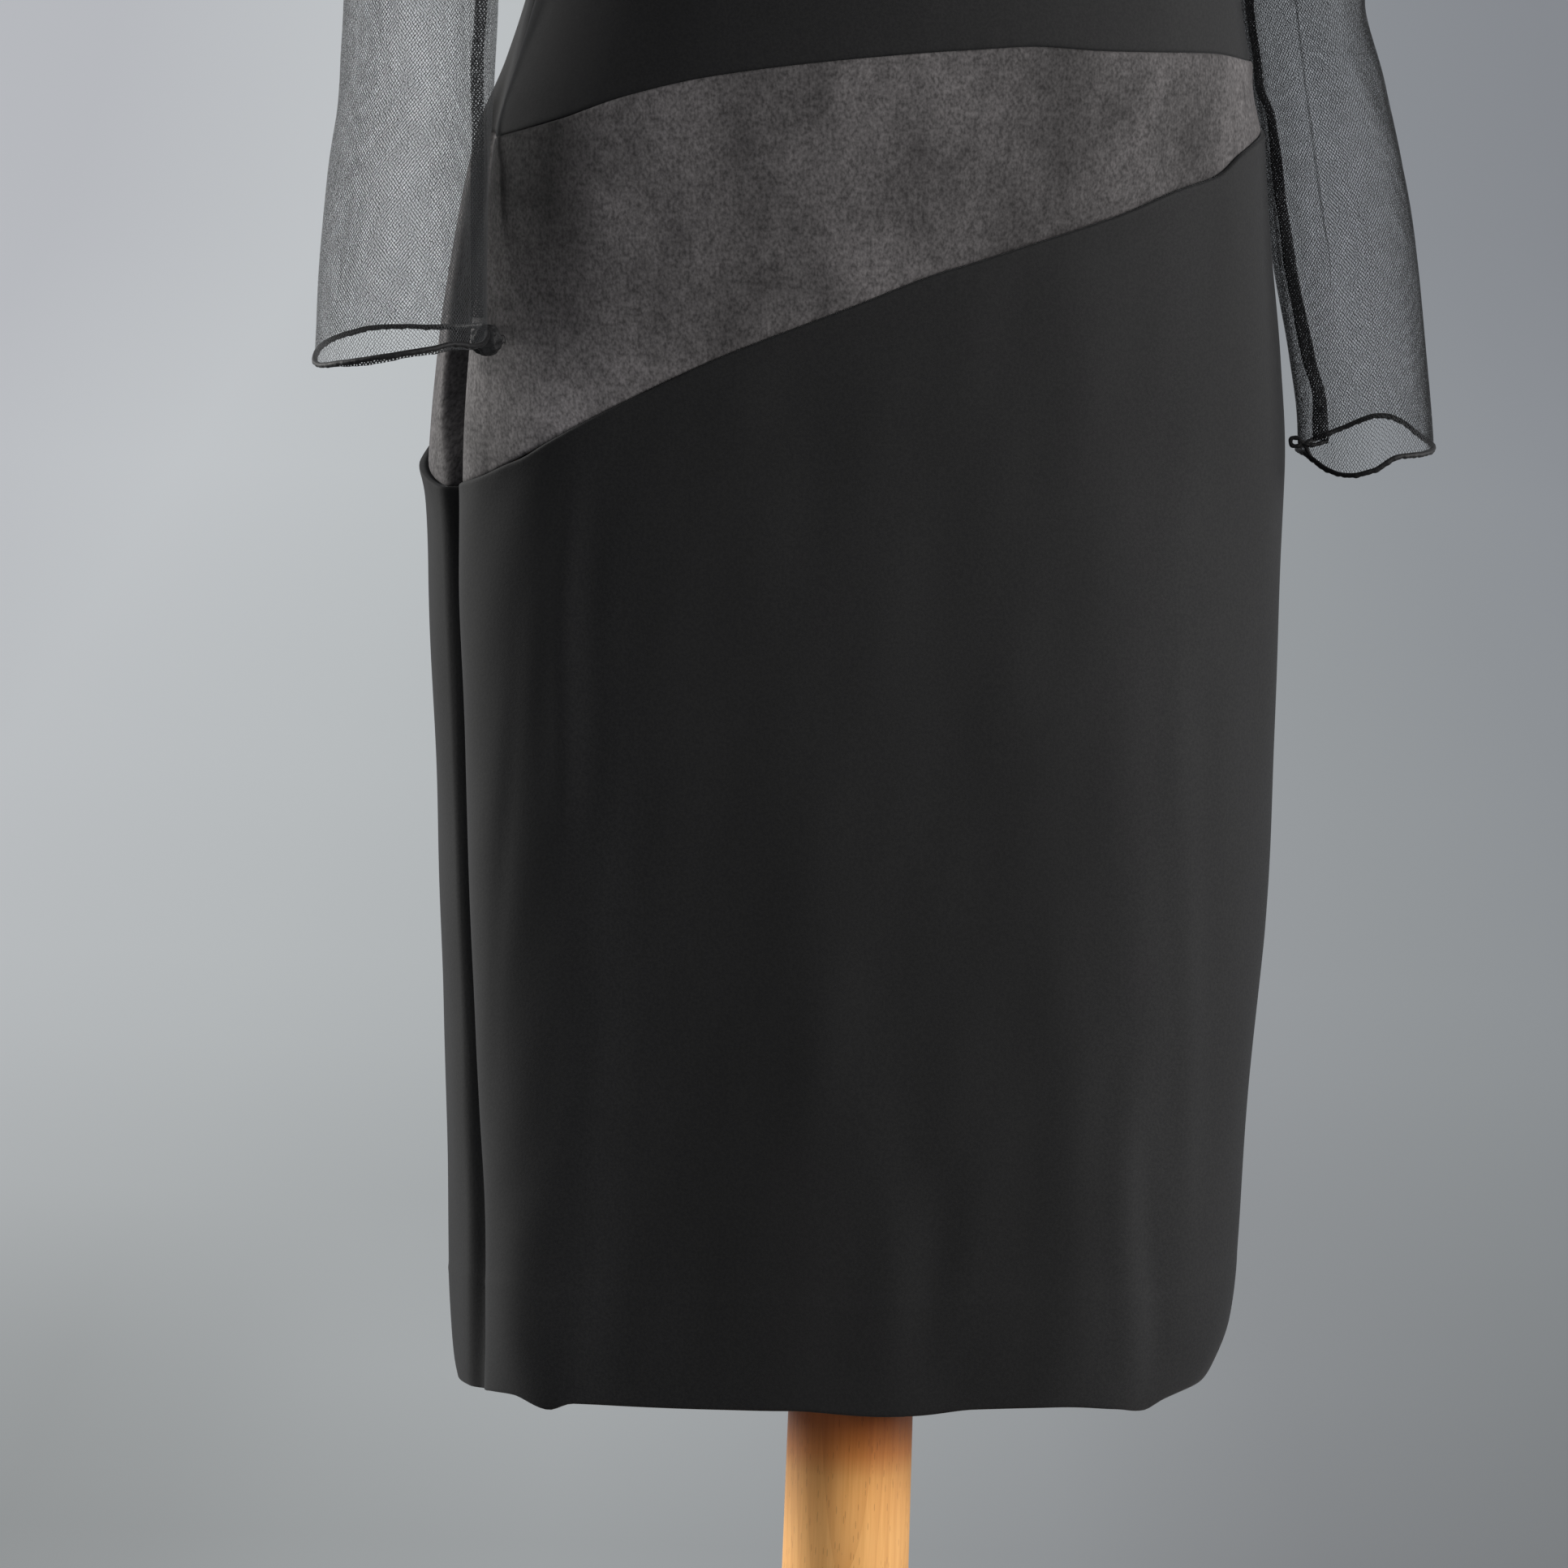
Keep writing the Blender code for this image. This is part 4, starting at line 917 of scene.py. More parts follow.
# ---------------------------------------------------------------- sleeves
YOKE_STEPS = np.array([0, 0.07, 0.17, 0.30, 0.45, 0.60, 0.75, 0.88, 1.0])  # heights on the armhole at even turns
GIRTH = 0.25  # metres round a sleeve that its creases are laid out on


def sleeve_ring(rows, angle, z, side):
    """A section of the sleeve. Angle 0 faces the body, 90 the front and 180 outwards."""
    out = 1 if side == "left" else -1
    a = np.radians(angle)
    x = smooth(rows["z"], rows["x"], z) - out * smooth(rows["z"], rows["wide"], z) * np.cos(a)
    y = smooth(rows["z"], rows["y"], z) - smooth(rows["z"], rows["deep"], z) * np.sin(a)
    return np.stack([x, y, z], -1)


def around(values, at):
    """A smooth closed curve through values that stand at 0, 1, 2, ..."""
    count = len(values)
    k = np.floor(at).astype(int)
    s = (at - k)[:, None]
    p0, p1, p2, p3 = (values[(k + d) % count] for d in (-1, 0, 1, 2))
    return 0.5 * (
        2 * p1 + (p2 - p0) * s + (2 * p0 - 5 * p1 + 4 * p2 - p3) * s**2 + (3 * p1 - p0 - 3 * p2 + p3) * s**3
    )


def armhole(side, angle):
    """The armhole's edge, the cloth's direction there and the way that leads into the sleeve."""
    front_t = SIDE_LEFT if side == "left" else -SIDE_LEFT
    back_t = SIDE_LEFT if side == "left" else 360 - SIDE_LEFT
    inward = -1.0 if side == "left" else 1.0

    def lines(t, step, front):
        w = YOKE_STEPS
        p = yoke(t, w, front)
        beside = yoke(t + step, w, front)
        high = yoke(t, np.minimum(w + 0.004, 1.0), front)
        low = yoke(t, np.maximum(w - 0.004, 0.0), front)
        n = np.cross((p - beside) * -np.sign(step), high - low)
        return p, unit(n), unit(p - beside)

    pf, nf, lf = lines(front_t, inward, True)
    pb, nb, lb = lines(back_t, -inward, False)
    nf[0] = nb[0] = unit(nf[0] + nb[0])
    ridge = unit(np.array((NECK_Z - SHOULDER_Z, 0, SHOULDER_X - NECK_X)))
    out = 1 if side == "left" else -1
    nf[-1] = nb[-1] = ridge * (out, 1, 1)
    start = np.vstack([pf, pb[-2:0:-1]])
    face = np.vstack([nf, nb[-2:0:-1]])
    lead = np.vstack([lf, lb[-2:0:-1]])
    along = np.roll(start, -1, 0) - np.roll(start, 1, 0)
    across = np.cross(along, face)
    across *= np.sign((across * lead).sum(1))[:, None]
    across[0] = (0, 0, 1)
    across = unit(across)
    step = angle / 22.5
    front = step <= 8
    w = smooth(np.arange(9.0), YOKE_STEPS, np.where(front, step, 16 - step))
    edge = np.where(front[:, None], yoke(np.where(front, front_t, back_t), w, True), 0)
    edge = np.where(front[:, None], yoke(np.full(len(w), front_t), w, True), yoke(np.full(len(w), back_t), w, False))
    return edge, unit(around(face, step)), unit(around(across, step))


# Seams of the sleeves, French and narrow: height, angle, width.
SLEEVE_SEAMS = {
    "left": table(
        "z angle wide",
        [
            (0.848, 21.0, 0.0066), (0.860, 20.5, 0.0066), (0.876, 22.5, 0.0064), (0.8885, 16.8, 0.0062),
            (0.904, 13.5, 0.0060), (0.9235, 11.2, 0.0056), (0.942, 10.2, 0.0052), (0.964, 6.2, 0.0048),
            (0.978, 6.2, 0.0046), (0.995, 6.5, 0.0042), (1.0075, -3.2, 0.0040), (1.023, -1.8, 0.0036),
            (1.0455, -4.8, 0.0033), (1.100, -4.0, 0.0034), (1.160, -2.0, 0.0036), (1.240, 0.0, 0.0038), (1.330, 0.0, 0.0038),
        ],
    ),
    "right": table(
        "z angle wide",
        [
            (0.900, -9.0, 0.0058), (0.9385, -9.5, 0.0057), (0.9725, -11.0, 0.0056), (1.017, -18.0, 0.0055),
            (1.041, -16.2, 0.0052), (1.100, -10.0, 0.0048), (1.160, -4.0, 0.0046), (1.240, 0.0, 0.0044), (1.330, 0.0, 0.0044),
        ],
    ),
}  # fmt: skip
CUFF_GAP = {"left": 0.0011, "right": 0.0021}  # how far above the solid's edge the net ends in its rolled hem


def loop_noise(x, seed, waves=((3, 1.0), (7, 0.7), (13, 0.5), (23, 0.35))):
    """Uneven but closed over x from 0 to 1."""
    return sum(a * np.sin(2 * np.pi * (n * x + 0.137 * seed * (k + 1))) for k, (n, a) in enumerate(waves))


sleeves, cuff_paths = {}, {}
for side, rows in (("left", SLEEVE_LEFT), ("right", SLEEVE_RIGHT)):
    name = "sleeve_" + side
    out = 1 if side == "left" else -1
    angle = np.linspace(0, 360, 121)[:-1]
    start, face, across = armhole(side, angle)
    top = rows["z"][-1]
    cuff = smooth(CUFFS["angle"], CUFFS[side], angle) + CUFF_GAP[side]
    first = start + across * JOIN * 3
    upper = sleeve_ring(rows, angle, np.full(len(angle), top), side)
    height = (1 - np.cos(np.radians(angle))) / 2
    leave = across * (0.030 + 0.085 * height)[:, None]
    leave[:, 2] += 0.010 * (1 - height)
    leave[:, 0] += out * 0.040 * (1 - height)
    arrive = np.tile((0, 0, -1.0), (len(angle), 1)) * (0.07 + 0.14 * height)[:, None]
    head = spaced(0.16)
    head = head[head < 1 - 0.0034 / 0.16]
    down = spaced(0.36)
    down = down[(down == 0) | (down > 0.0034 / 0.36)]
    ring = [
        (2 * s**3 - 3 * s**2 + 1) * first + (s**3 - 2 * s**2 + s) * leave + (3 * s**2 - 2 * s**3) * upper + (s**3 - s**2) * arrive
        for s in head
    ]
    ring += [sleeve_ring(rows, angle, top * (1 - s) + cuff * s, side) for s in down]
    points = np.array(ring[::-1])
    order = np.arange(len(angle))
    if side == "right":
        order = order[::-1]
    points = points[:, order]
    turn = angle[order]
    facing = normals(points, tube=True)
    middle = points.mean(1, keepdims=True)
    low = points[..., 2] < top
    if (((points - middle) * facing).sum(-1) * low).sum() < 0:
        facing = -facing
    at_top = np.exp(-(run(points, 0)[-1:] - run(points, 0)) / 0.004)[..., None]
    facing = unit(facing * (1 - at_top) + face[order][None] * at_top)
    z = points[..., 2]
    laid = np.broadcast_to(turn / 360 * GIRTH, z.shape)
    rows_laid = [(a0 / 360 * GIRTH, u0, a1 / 360 * GIRTH, u1, w, h) for a0, u0, a1, u1, w, h in CREASES[name]]
    relief = creased(laid, z, rows_laid)
    x = turn / 360
    relief = relief + 0.00035 * loop_noise(x[None] + 0.35 * np.sin(9 * z), 1.7 + out, ((2, 1.0), (5, 0.6), (9, 0.35)))
    away = np.minimum(turn, 360 - turn)[None]
    relief = np.where(relief > 0, relief * blend(away, 28, 75), relief * (0.35 + 0.65 * blend(away, 10, 60)))
    tall = run(points, 0)
    relief = relief * (0.25 + 0.75 * blend(tall, 0, 0.018)) * (0.2 + 0.8 * blend(tall[-1:] - tall, 0, 0.02))
    relief = relief - turned_in(tall[-1:] - tall, 0.0018, 0.0007)
    outer = points + facing * relief[..., None]
    if side == "left":
        # It hangs close behind the dress's side.
        near = 0.0021 * blend(z, 0.885, 0.935) * (1 - blend(z, 1.06, 1.13)) * np.exp(-(((turn + 30) % 360 - 8) / 42) ** 2)[None]
        outer = outer - np.array((math.cos(math.radians(17)), -math.sin(math.radians(17)), 0.0)) * near[..., None]
    inner = outer - facing * NET
    closing = np.concatenate([outer, outer[:, :1]], 1)
    # The map follows the cut: across is the way round from the seam, up the mean length along the sleeve.
    around_way = run(closing, 1)
    up_way = np.broadcast_to(tall.mean(1)[:, None], around_way.shape)
    pieces[name] = grid_mesh("cloth_" + name, outer, inner, around_way, up_way, tube=True)
    sleeves[side] = (outer, facing, turn, z, tall)

    # The French seam is a narrow strip inside the net.
    seam = SLEEVE_SEAMS[side]
    centre_z = z[:, np.argmin(turn)]
    centre = smooth(seam["z"], seam["angle"], centre_z)
    wide = smooth(seam["z"], seam["wide"], centre_z) * (1 + 0.05 * np.sin(centre_z * 170) + 0.04 * np.sin(centre_z * 61))
    keep = np.arange(2, len(centre_z) - 3)
    keep = keep[centre_z[keep] > centre_z[0] + (0.0052 if side == "left" else 0.0020)]
    sorted_turn = np.argsort(turn)
    closed_turn = np.append(turn[sorted_turn], 360.0)

    def sample(values, row, at):
        ring_values = values[row][sorted_turn]
        ring_values = np.vstack([ring_values, ring_values[:1]])
        return np.stack([np.interp(at % 360, closed_turn, ring_values[:, c]) for c in range(3)], -1)

    # Its allowance stands off the cloth into the sleeve, flat towards the front.
    lanes = np.linspace(0, 1, 7)
    flat_way = np.array((math.cos(math.radians(17)), -math.sin(math.radians(17)), 0.0))
    trial = np.linspace(-40, 80, 241) if side == "left" else np.linspace(17, -70, 241)
    front_rows, back_rows = [], []
    for j in keep:
        lateral = sample(outer, j, trial) @ flat_way
        place = (sample(outer, j, np.array([centre[j]])) @ flat_way)[0]
        best = np.argmin(lateral) if side == "left" else np.argmax(lateral)
        if side == "left":
            found = trial[best:][np.argmax(lateral[best:] >= max(place - wide[j] / 2, lateral[best]) - 1e-9)]
            way = flat_way
        else:
            found = trial[best:][np.argmax(lateral[best:] <= min(place + wide[j] / 2, lateral[best]) + 1e-9)]
            way = -flat_way
        root, n = sample(outer, j, np.array([found]))[0], unit(sample(facing, j, np.array([found])))[0]
        way = unit(way - n * min(0.0, 0.0)) if way.dot(n) < -0.15 else unit(way - n * (way.dot(n) + 0.15))
        ripple = 0.0006 * np.sin(lanes * 3.0 + centre_z[j] * 95)[:, None] * np.array((0, -1.0, 0))
        lie = root - n * (NET + 0.0003) + way * (lanes * wide[j])[:, None] + ripple * lanes[:, None]
        normal = unit(np.cross(way, (0, 0, 1.0)))
        front_rows.append(lie + normal * 0.00022)
        back_rows.append(lie - normal * 0.00022)
    front_rows, back_rows = np.array(front_rows), np.array(back_rows)
    across_strip = run(front_rows, 1)
    up_strip = np.broadcast_to(tall[keep].mean(1)[:, None], across_strip.shape)
    pieces["seam_" + side] = grid_mesh("seam_sleeve_" + side, front_rows, back_rows, across_strip, up_strip)

    # Rolled hem.
    edge = (outer[0] + inner[0]) / 2
    x = np.arange(len(edge)) / len(edge)
    fine = np.linspace(0, len(edge), 481)[:-1]
    closed_edge = np.vstack([edge, edge[:1]])
    path = np.stack([np.interp(fine, np.arange(len(edge) + 1), closed_edge[:, c]) for c in range(3)], -1)
    share = fine / len(edge)
    radius = 0.00120 * (1 + 0.05 * loop_noise(share, 2.2 + out) + 0.05 * loop_noise(share, 0.7, ((41, 1.0), (67, 0.8))))
    path[:, 2] -= radius + 0.00002
    path[:, 2] += 0.00010 * loop_noise(share, 3.1 + out)
    pieces["cuff_" + side] = tube_mesh("rolled_hem_" + side, path, radius, sides=12, closed=True)
    cuff_paths[side] = (share, path, radius)


def cuff_at(side, degrees):
    """A point of the rolled hem at an angle round the sleeve."""
    share, path, _ = cuff_paths[side]
    if side == "right":
        degrees = 357 - degrees
    at = (degrees % 360) / 360
    return np.array([np.interp(at, share, path[:, c], period=1.0) for c in range(3)])


# One thin crease stands down the front of the wearer's left sleeve.
crease_line = np.array([(1.0479, 0.1745), (1.0340, 0.1766), (1.0127, 0.1800), (0.9960, 0.1830), (0.9786, 0.1861), (0.9654, 0.1883), (0.9512, 0.1908), (0.9385, 0.1937), (0.9253, 0.1950)])
outer, facing, turn, z, tall = sleeves["left"]
view_side = np.array((math.cos(math.radians(17)), -math.sin(math.radians(17)), 0.0))
view_depth = np.array((math.sin(math.radians(17)), math.cos(math.radians(17)), 0.0))
ridge_out, ridge_in = [], []


def eased(x):
    x = min(max(x, 0.0), 1.0)
    return x * x * (3 - 2 * x)


round_way = np.argsort(turn)
for j in range(len(outer)):
    high = outer[j][:, 2].mean()
    if not crease_line[-1, 0] - 0.004 < high < crease_line[0, 0] + 0.045:
        continue
    ring, out_way = outer[j][round_way], facing[j][round_way]
    aside = ring @ view_side - np.interp(ring[:, 2], crease_line[::-1, 0], crease_line[::-1, 1])
    aside -= 0.17 * np.maximum(crease_line[0, 0] - ring[:, 2], -0.05) * (ring[:, 2] > crease_line[0, 0])
    cross = np.where((aside[:-1] < 0) != (aside[1:] < 0))[0]
    if not len(cross):
        continue
    k = cross[np.argmin((ring @ view_depth)[cross])]
    s = aside[k] / (aside[k] - aside[k + 1])
    point, n = ring[k] * (1 - s) + ring[k + 1] * s, unit(out_way[k] * (1 - s) + out_way[k + 1] * s)
    ends = eased((point[2] - crease_line[-1, 0] + 0.004) / 0.035) * eased((crease_line[0, 0] + 0.045 - point[2]) / 0.03)
    way = unit(view_side - n * n.dot(view_side))
    lanes = np.linspace(-1, 1, 7)[:, None]
    half = 0.00012 + 0.00058 * ends * (1 + 0.15 * math.sin(point[2] * 210))
    ridge_in.append(point + way * lanes * half + n * 0.00004)
    ridge_out.append(point + way * lanes * half + n * (0.00012 + 0.00035 * ends * (1 - lanes**2)))
ridge_out, ridge_in = np.array(ridge_out), np.array(ridge_in)
pieces["extra_left_crease"] = grid_mesh("crease_sleeve_left", ridge_out, ridge_in, run(ridge_out, 1), run(ridge_out, 0))

# A little of the net shows below the rolled hem at the wearer's right wrist, where the hem has rolled upwards.
turns = np.linspace(22, 178, 79)
line = np.array([cuff_at("right", d) for d in turns])
drop = 0.0019 * np.sin(np.pi * np.linspace(0, 1, len(turns))) ** 0.7 * (1 + 0.25 * np.sin(turns * 0.11)) + 0.0006
rows_down = np.linspace(1, 0, 4)[:, None]
sheet_out = line[None] - np.array((0, 0, 1.0)) * (rows_down * drop[None])[..., None]
outwards_there = unit(np.cross(np.gradient(line, axis=0), (0, 0, 1.0)))
middle = line.mean(0)
outwards_there *= np.sign(((line - middle) * outwards_there).sum(1))[:, None]
sheet_in = sheet_out - outwards_there[None] * NET
pieces["extra_right_edge"] = grid_mesh("hem_edge_right", sheet_out, sheet_in, run(sheet_out, 1), run(sheet_out, 0))


def bundle(name, centre, half, folds, seed, turn=0.0):
    """A small gathered bundle of rolled net: an egg with uneven upright folds."""
    rows, columns = 33, 72
    lat = np.linspace(-np.pi / 2, np.pi / 2, rows)[:, None]
    lon = (np.arange(columns) * 2 * np.pi / columns)[None]
    bumps = 1 + 0.10 * np.sin(folds * lon + 1.4 * np.sin(2 * lat + seed) + seed) + 0.06 * np.sin(5 * lat + 3 * lon + seed * 2)
    bumps = bumps + 0.05 * np.sin(11 * lat - 2 * lon + seed)
    square = 0.72
    x = power(np.cos(lat), square) * power(np.cos(lon), 0.85) * bumps
    y = power(np.cos(lat), square) * power(np.sin(lon), 0.85) * bumps
    z = power(np.sin(lat), 0.85) * (1 + 0.06 * np.sin(3 * lon + seed))
    p = np.stack([x * half[0], y * half[1], z * half[2]], -1)
    a = math.radians(turn)
    c, s = math.cos(a), math.sin(a)
    p = p @ np.array([(c, 0, s), (0, 1, 0), (-s, 0, c)])
    b = math.radians(-17)
    c, s = math.cos(b), math.sin(b)
    p = p @ np.array([(c, s, 0), (-s, c, 0), (0, 0, 1)]) + np.array(centre)
    index = np.arange(rows * columns).reshape(rows, columns)
    index = np.hstack([index, index[:, :1]])
    faces = np.stack([index[:-1, :-1], index[:-1, 1:], index[1:, 1:], index[1:, :-1]], -1).reshape(-1, 4)
    lon_uv = np.append(lon[0], 2 * np.pi) * half[0]
    flat = np.stack(np.broadcast_arrays(lon_uv[None], lat * half[2]), -1)
    uv = np.stack([flat[:-1, :-1], flat[:-1, 1:], flat[1:, 1:], flat[1:, :-1]], -2).reshape(-1, 4, 2)
    obj = mesh_of(name, p.reshape(-1, 3), faces, uv)
    bm = bmesh.new()
    bm.from_mesh(obj.data)
    bmesh.ops.remove_doubles(bm, verts=bm.verts, dist=1e-6)
    bm.to_mesh(obj.data)
    bm.free()
    obj.data.shade_smooth()
    return obj


# The rolled hem of the wearer's right sleeve ends in a small bundle where the French seam is folded in.
pieces["extra_right_knot"] = bundle("hem_bundle_right", (-0.1912, -0.0385, 0.8998), (0.0061, 0.0030, 0.0064), 6, 0.9, 6)
s = np.linspace(0, 1, 40)
loop = np.stack(
    [
        -0.1912 + 0.0064 + 0.0016 * np.sin(np.pi * s),
        -0.0400 - 0.0006 * np.sin(2 * np.pi * s),
        0.9020 - 0.0045 * s + 0.0008 * np.sin(3 * np.pi * s),
    ],
    -1,
)
pieces["extra_right_thread"] = tube_mesh("hem_thread_right", loop, 0.00022, sides=6)

# At the wearer's left wrist the hem's end makes a small ring beside the sleeve.
across_view = np.array((math.cos(math.radians(17)), -math.sin(math.radians(17)), 0.0))
upright = np.array((0.0, 0.0, 1.0))
ring_at = np.array((0.1972, 0.0013, 0.8460)) - across_view * 0.0060 + upright * 0.0052 - np.array((0, 0.004, 0))
turns = np.linspace(0, 2 * np.pi, 49)[:-1]
ring_path = ring_at + 0.00215 * (np.cos(turns)[:, None] * across_view + np.sin(turns)[:, None] * (upright * 0.92 + np.array((0, 0.35, 0))))
ring_path += 0.0002 * np.sin(3 * turns)[:, None] * upright
pieces["extra_left_ring"] = tube_mesh("hem_ring_left", ring_path, 0.00098 * (1 + 0.08 * np.sin(5 * turns + 1)), sides=10, closed=True)


def bend(points, count=40):
    """A smooth line through a few points."""
    points = np.array(points, float)
    ends = np.vstack([2 * points[0] - points[1], points, 2 * points[-1] - points[-2]])
    at = np.linspace(1, len(points) - 1e-6, count)
    k = np.floor(at).astype(int)
    k = np.minimum(k, len(points) - 1)
    s = (at - k)[:, None]
    p0, p1, p2, p3 = ends[k - 1], ends[k], ends[k + 1], ends[k + 2]
    return 0.5 * (2 * p1 + (p2 - p0) * s + (2 * p0 - 5 * p1 + 4 * p2 - p3) * s**2 + (3 * p1 - p0 - 3 * p2 + p3) * s**3)


start = ring_at + across_view * 0.0021 - upright * 0.0004
low_end = cuff_at("left", 8)
pieces["extra_left_join"] = tube_mesh(
    "hem_join_left",
    bend([start, start + across_view * 0.0022 - upright * 0.0012, low_end + upright * 0.0004]),
    0.00092 * (1 + 0.07 * np.sin(np.linspace(0, 20, 40))),
    sides=10,
)
high_end = ring_at + across_view * 0.0155 + upright * 0.0004 + np.array((0, 0.004, 0))
pieces["extra_left_bridge"] = tube_mesh(
    "hem_bridge_left",
    bend([start + upright * 0.0006, ring_at + across_view * 0.007 - upright * 0.0012, high_end]),
    0.0010 * (1 + 0.10 * np.sin(np.linspace(0, 26, 40))),
    sides=10,
)

# ---------------------------------------------------------------- the dress form
FORM_INSET = table(
    "z inset",
    [(0.70, 0.026), (0.80, 0.023), (0.95, 0.020), (1.03, 0.014), (1.10, 0.007), (1.20, FORM_GAP), (1.30, FORM_GAP)],
)
NECK_CENTRE_Y = -0.003


def make_torso():
    front = even_turns(-SIDE_LEFT, SIDE_LEFT, np.linspace(0, 1, 65))
    back = 180 - front[::-1] * (180 - SIDE_LEFT) / SIDE_LEFT
    heights = [0.70, 0.7008, 0.703, 0.707, 0.712] + list(np.linspace(0.72, 1.30, 60))
    tucks = [0.010, 0.0062, 0.0030, 0.0010, 0.0]
    bm = bmesh.new()
    loops = []
    for k, z in enumerate(heights):
        inset = smooth(FORM_INSET["z"], FORM_INSET["inset"], z)
        tuck = tucks[k] if k < len(tucks) else 0.0
        pull = 1.2 * (1 - z / UNDERARM)
        ring = np.vstack(
            [
                section(np.clip(front, -SIDE_LEFT + pull, SIDE_LEFT - pull), z, inset + tuck),
                section(np.clip(back, SIDE_LEFT + 1 + pull, 359 - SIDE_LEFT - pull), z, inset + tuck),
            ]
        )
        loops.append([bm.verts.new(p) for p in ring])
    for w in np.linspace(0, 1, 34)[1:]:
        ring = np.vstack([yoke(front, w, True, FORM_YOKE_GAP), yoke(back, w, False, FORM_YOKE_GAP)])
        loops.append([bm.verts.new(p) for p in ring])
    count = len(loops[0])
    for low, high in zip(loops, loops[1:]):
        for i in range(count):
            k = (i + 1) % count
            bm.faces.new((low[i], low[k], high[k], high[i]))
    bm.faces.new(list(reversed(loops[0])))
    bmesh.ops.remove_doubles(bm, verts=bm.verts, dist=2e-5)
    rim = [e for e in bm.edges if len(e.link_faces) == 1]
    steps = 14
    base = None
    for step in range(1, steps + 1):
        grown = bmesh.ops.extrude_edge_only(bm, edges=rim)
        new = [g for g in grown["geom"] if isinstance(g, bmesh.types.BMVert)]
        rim = [g for g in grown["geom"] if isinstance(g, bmesh.types.BMEdge)]
        s = step / steps
        if base is None:
            base = s
        for v in new:
            dx, dy = v.co.x, v.co.y - NECK_CENTRE_Y
            far = math.hypot(dx, dy)
            share = 1 / (steps - step + 1)
            radius = far + (NECK_RADIUS - far) * share * (1.6 if s < 0.5 else 1.0)
            v.co.x, v.co.y = dx / far * radius, NECK_CENTRE_Y + dy / far * radius
            v.co.z += (NECK_TOP - v.co.z) * share
    bmesh.ops.edgeloop_fill(bm, edges=rim)
    bmesh.ops.recalc_face_normals(bm, faces=bm.faces)
    mesh = bpy.data.meshes.new("torso")
    bm.to_mesh(mesh)
    bm.free()
    mesh.shade_smooth()
    mesh.set_sharp_from_angle(angle=math.radians(60))
    obj = bpy.data.objects.new("form_torso_covered", mesh)
    bpy.context.scene.collection.objects.link(obj)
    return obj


def turned(name, profile, centre_y=0.0, sides=128):
    """A solid turned about a vertical axis, from (radius, height) points, bottom to top."""
    bm = bmesh.new()
    loops = []
    for radius, z in profile:
        if radius == 0:
            loops.append([bm.verts.new((0, centre_y, z))])
            continue
        turn = [2 * math.pi * k / sides for k in range(sides)]
        loops.append([bm.verts.new((radius * math.cos(a), centre_y + radius * math.sin(a), z)) for a in turn])
    for low, high in zip(loops, loops[1:]):
        for i in range(sides):
            k = (i + 1) % sides
            if len(low) == 1:
                bm.faces.new((low[0], high[k], high[i]))
            elif len(high) == 1:
                bm.faces.new((low[i], low[k], high[0]))
            else:
                bm.faces.new((low[i], low[k], high[k], high[i]))
    bmesh.ops.recalc_face_normals(bm, faces=bm.faces)
    mesh = bpy.data.meshes.new(name)
    bm.to_mesh(mesh)
    bm.free()
    mesh.shade_smooth()
    mesh.set_sharp_from_angle(angle=math.radians(35))
    obj = bpy.data.objects.new(name, mesh)
    bpy.context.scene.collection.objects.link(obj)
    return obj


def pole_radius(z):
    return POLE_RADIUS + (POLE_AT - z) * POLE_TAPER


def rounded(radius, z0, z1, round_low, round_high, steps=7):
    """Profile of a disc with rounded edges."""
    turns = np.radians(np.linspace(0, 90, steps))
    low = [(radius - round_low * (1 - math.sin(a)), z0 + round_low * (1 - math.cos(a))) for a in turns]
    high = [(radius - round_high * (1 - math.cos(a)), z1 - round_high * (1 - math.sin(a))) for a in turns]
    return [(0, z0)] + low + high + [(0, z1)]


pieces["form_torso"] = make_torso()
cap = NECK_TOP + SEAM
dome = [
    (CAP_RADIUS * math.cos(math.radians(a)), cap + 0.012 + (CAP_TALL - 0.012) * math.sin(math.radians(a)))
    for a in np.linspace(0, 88, 16)
]
pieces["form_neck_cap"] = turned(
    "neck_cap_turned",
    [(0, cap), (CAP_RADIUS - 0.0022, cap), (CAP_RADIUS - 0.0008, cap + 0.0007), (CAP_RADIUS, cap + 0.0022)]
    + [(CAP_RADIUS, cap + 0.0050), (CAP_RADIUS - 0.0005, cap + 0.0056), (CAP_RADIUS - 0.0005, cap + 0.0064), (CAP_RADIUS, cap + 0.0070)]
    + dome
    + [(0, cap + CAP_TALL)],
    centre_y=NECK_CENTRE_Y,
)
lengths = np.linspace(BASE_TALL + SEAM + 0.001, FORM_BOTTOM - SEAM, 48)
pieces["form_pole"] = turned(
    "pole_turned",
    [(0, BASE_TALL + SEAM), (pole_radius(BASE_TALL) - 0.0006, BASE_TALL + SEAM)]
    + [(pole_radius(z), z) for z in lengths]
    + [(0, FORM_BOTTOM - SEAM)],
    sides=160,
)
pieces["form_base"] = turned("base_turned", rounded(BASE_RADIUS, 0.0, BASE_TALL, 0.003, BASE_ROUND, 10), sides=192)

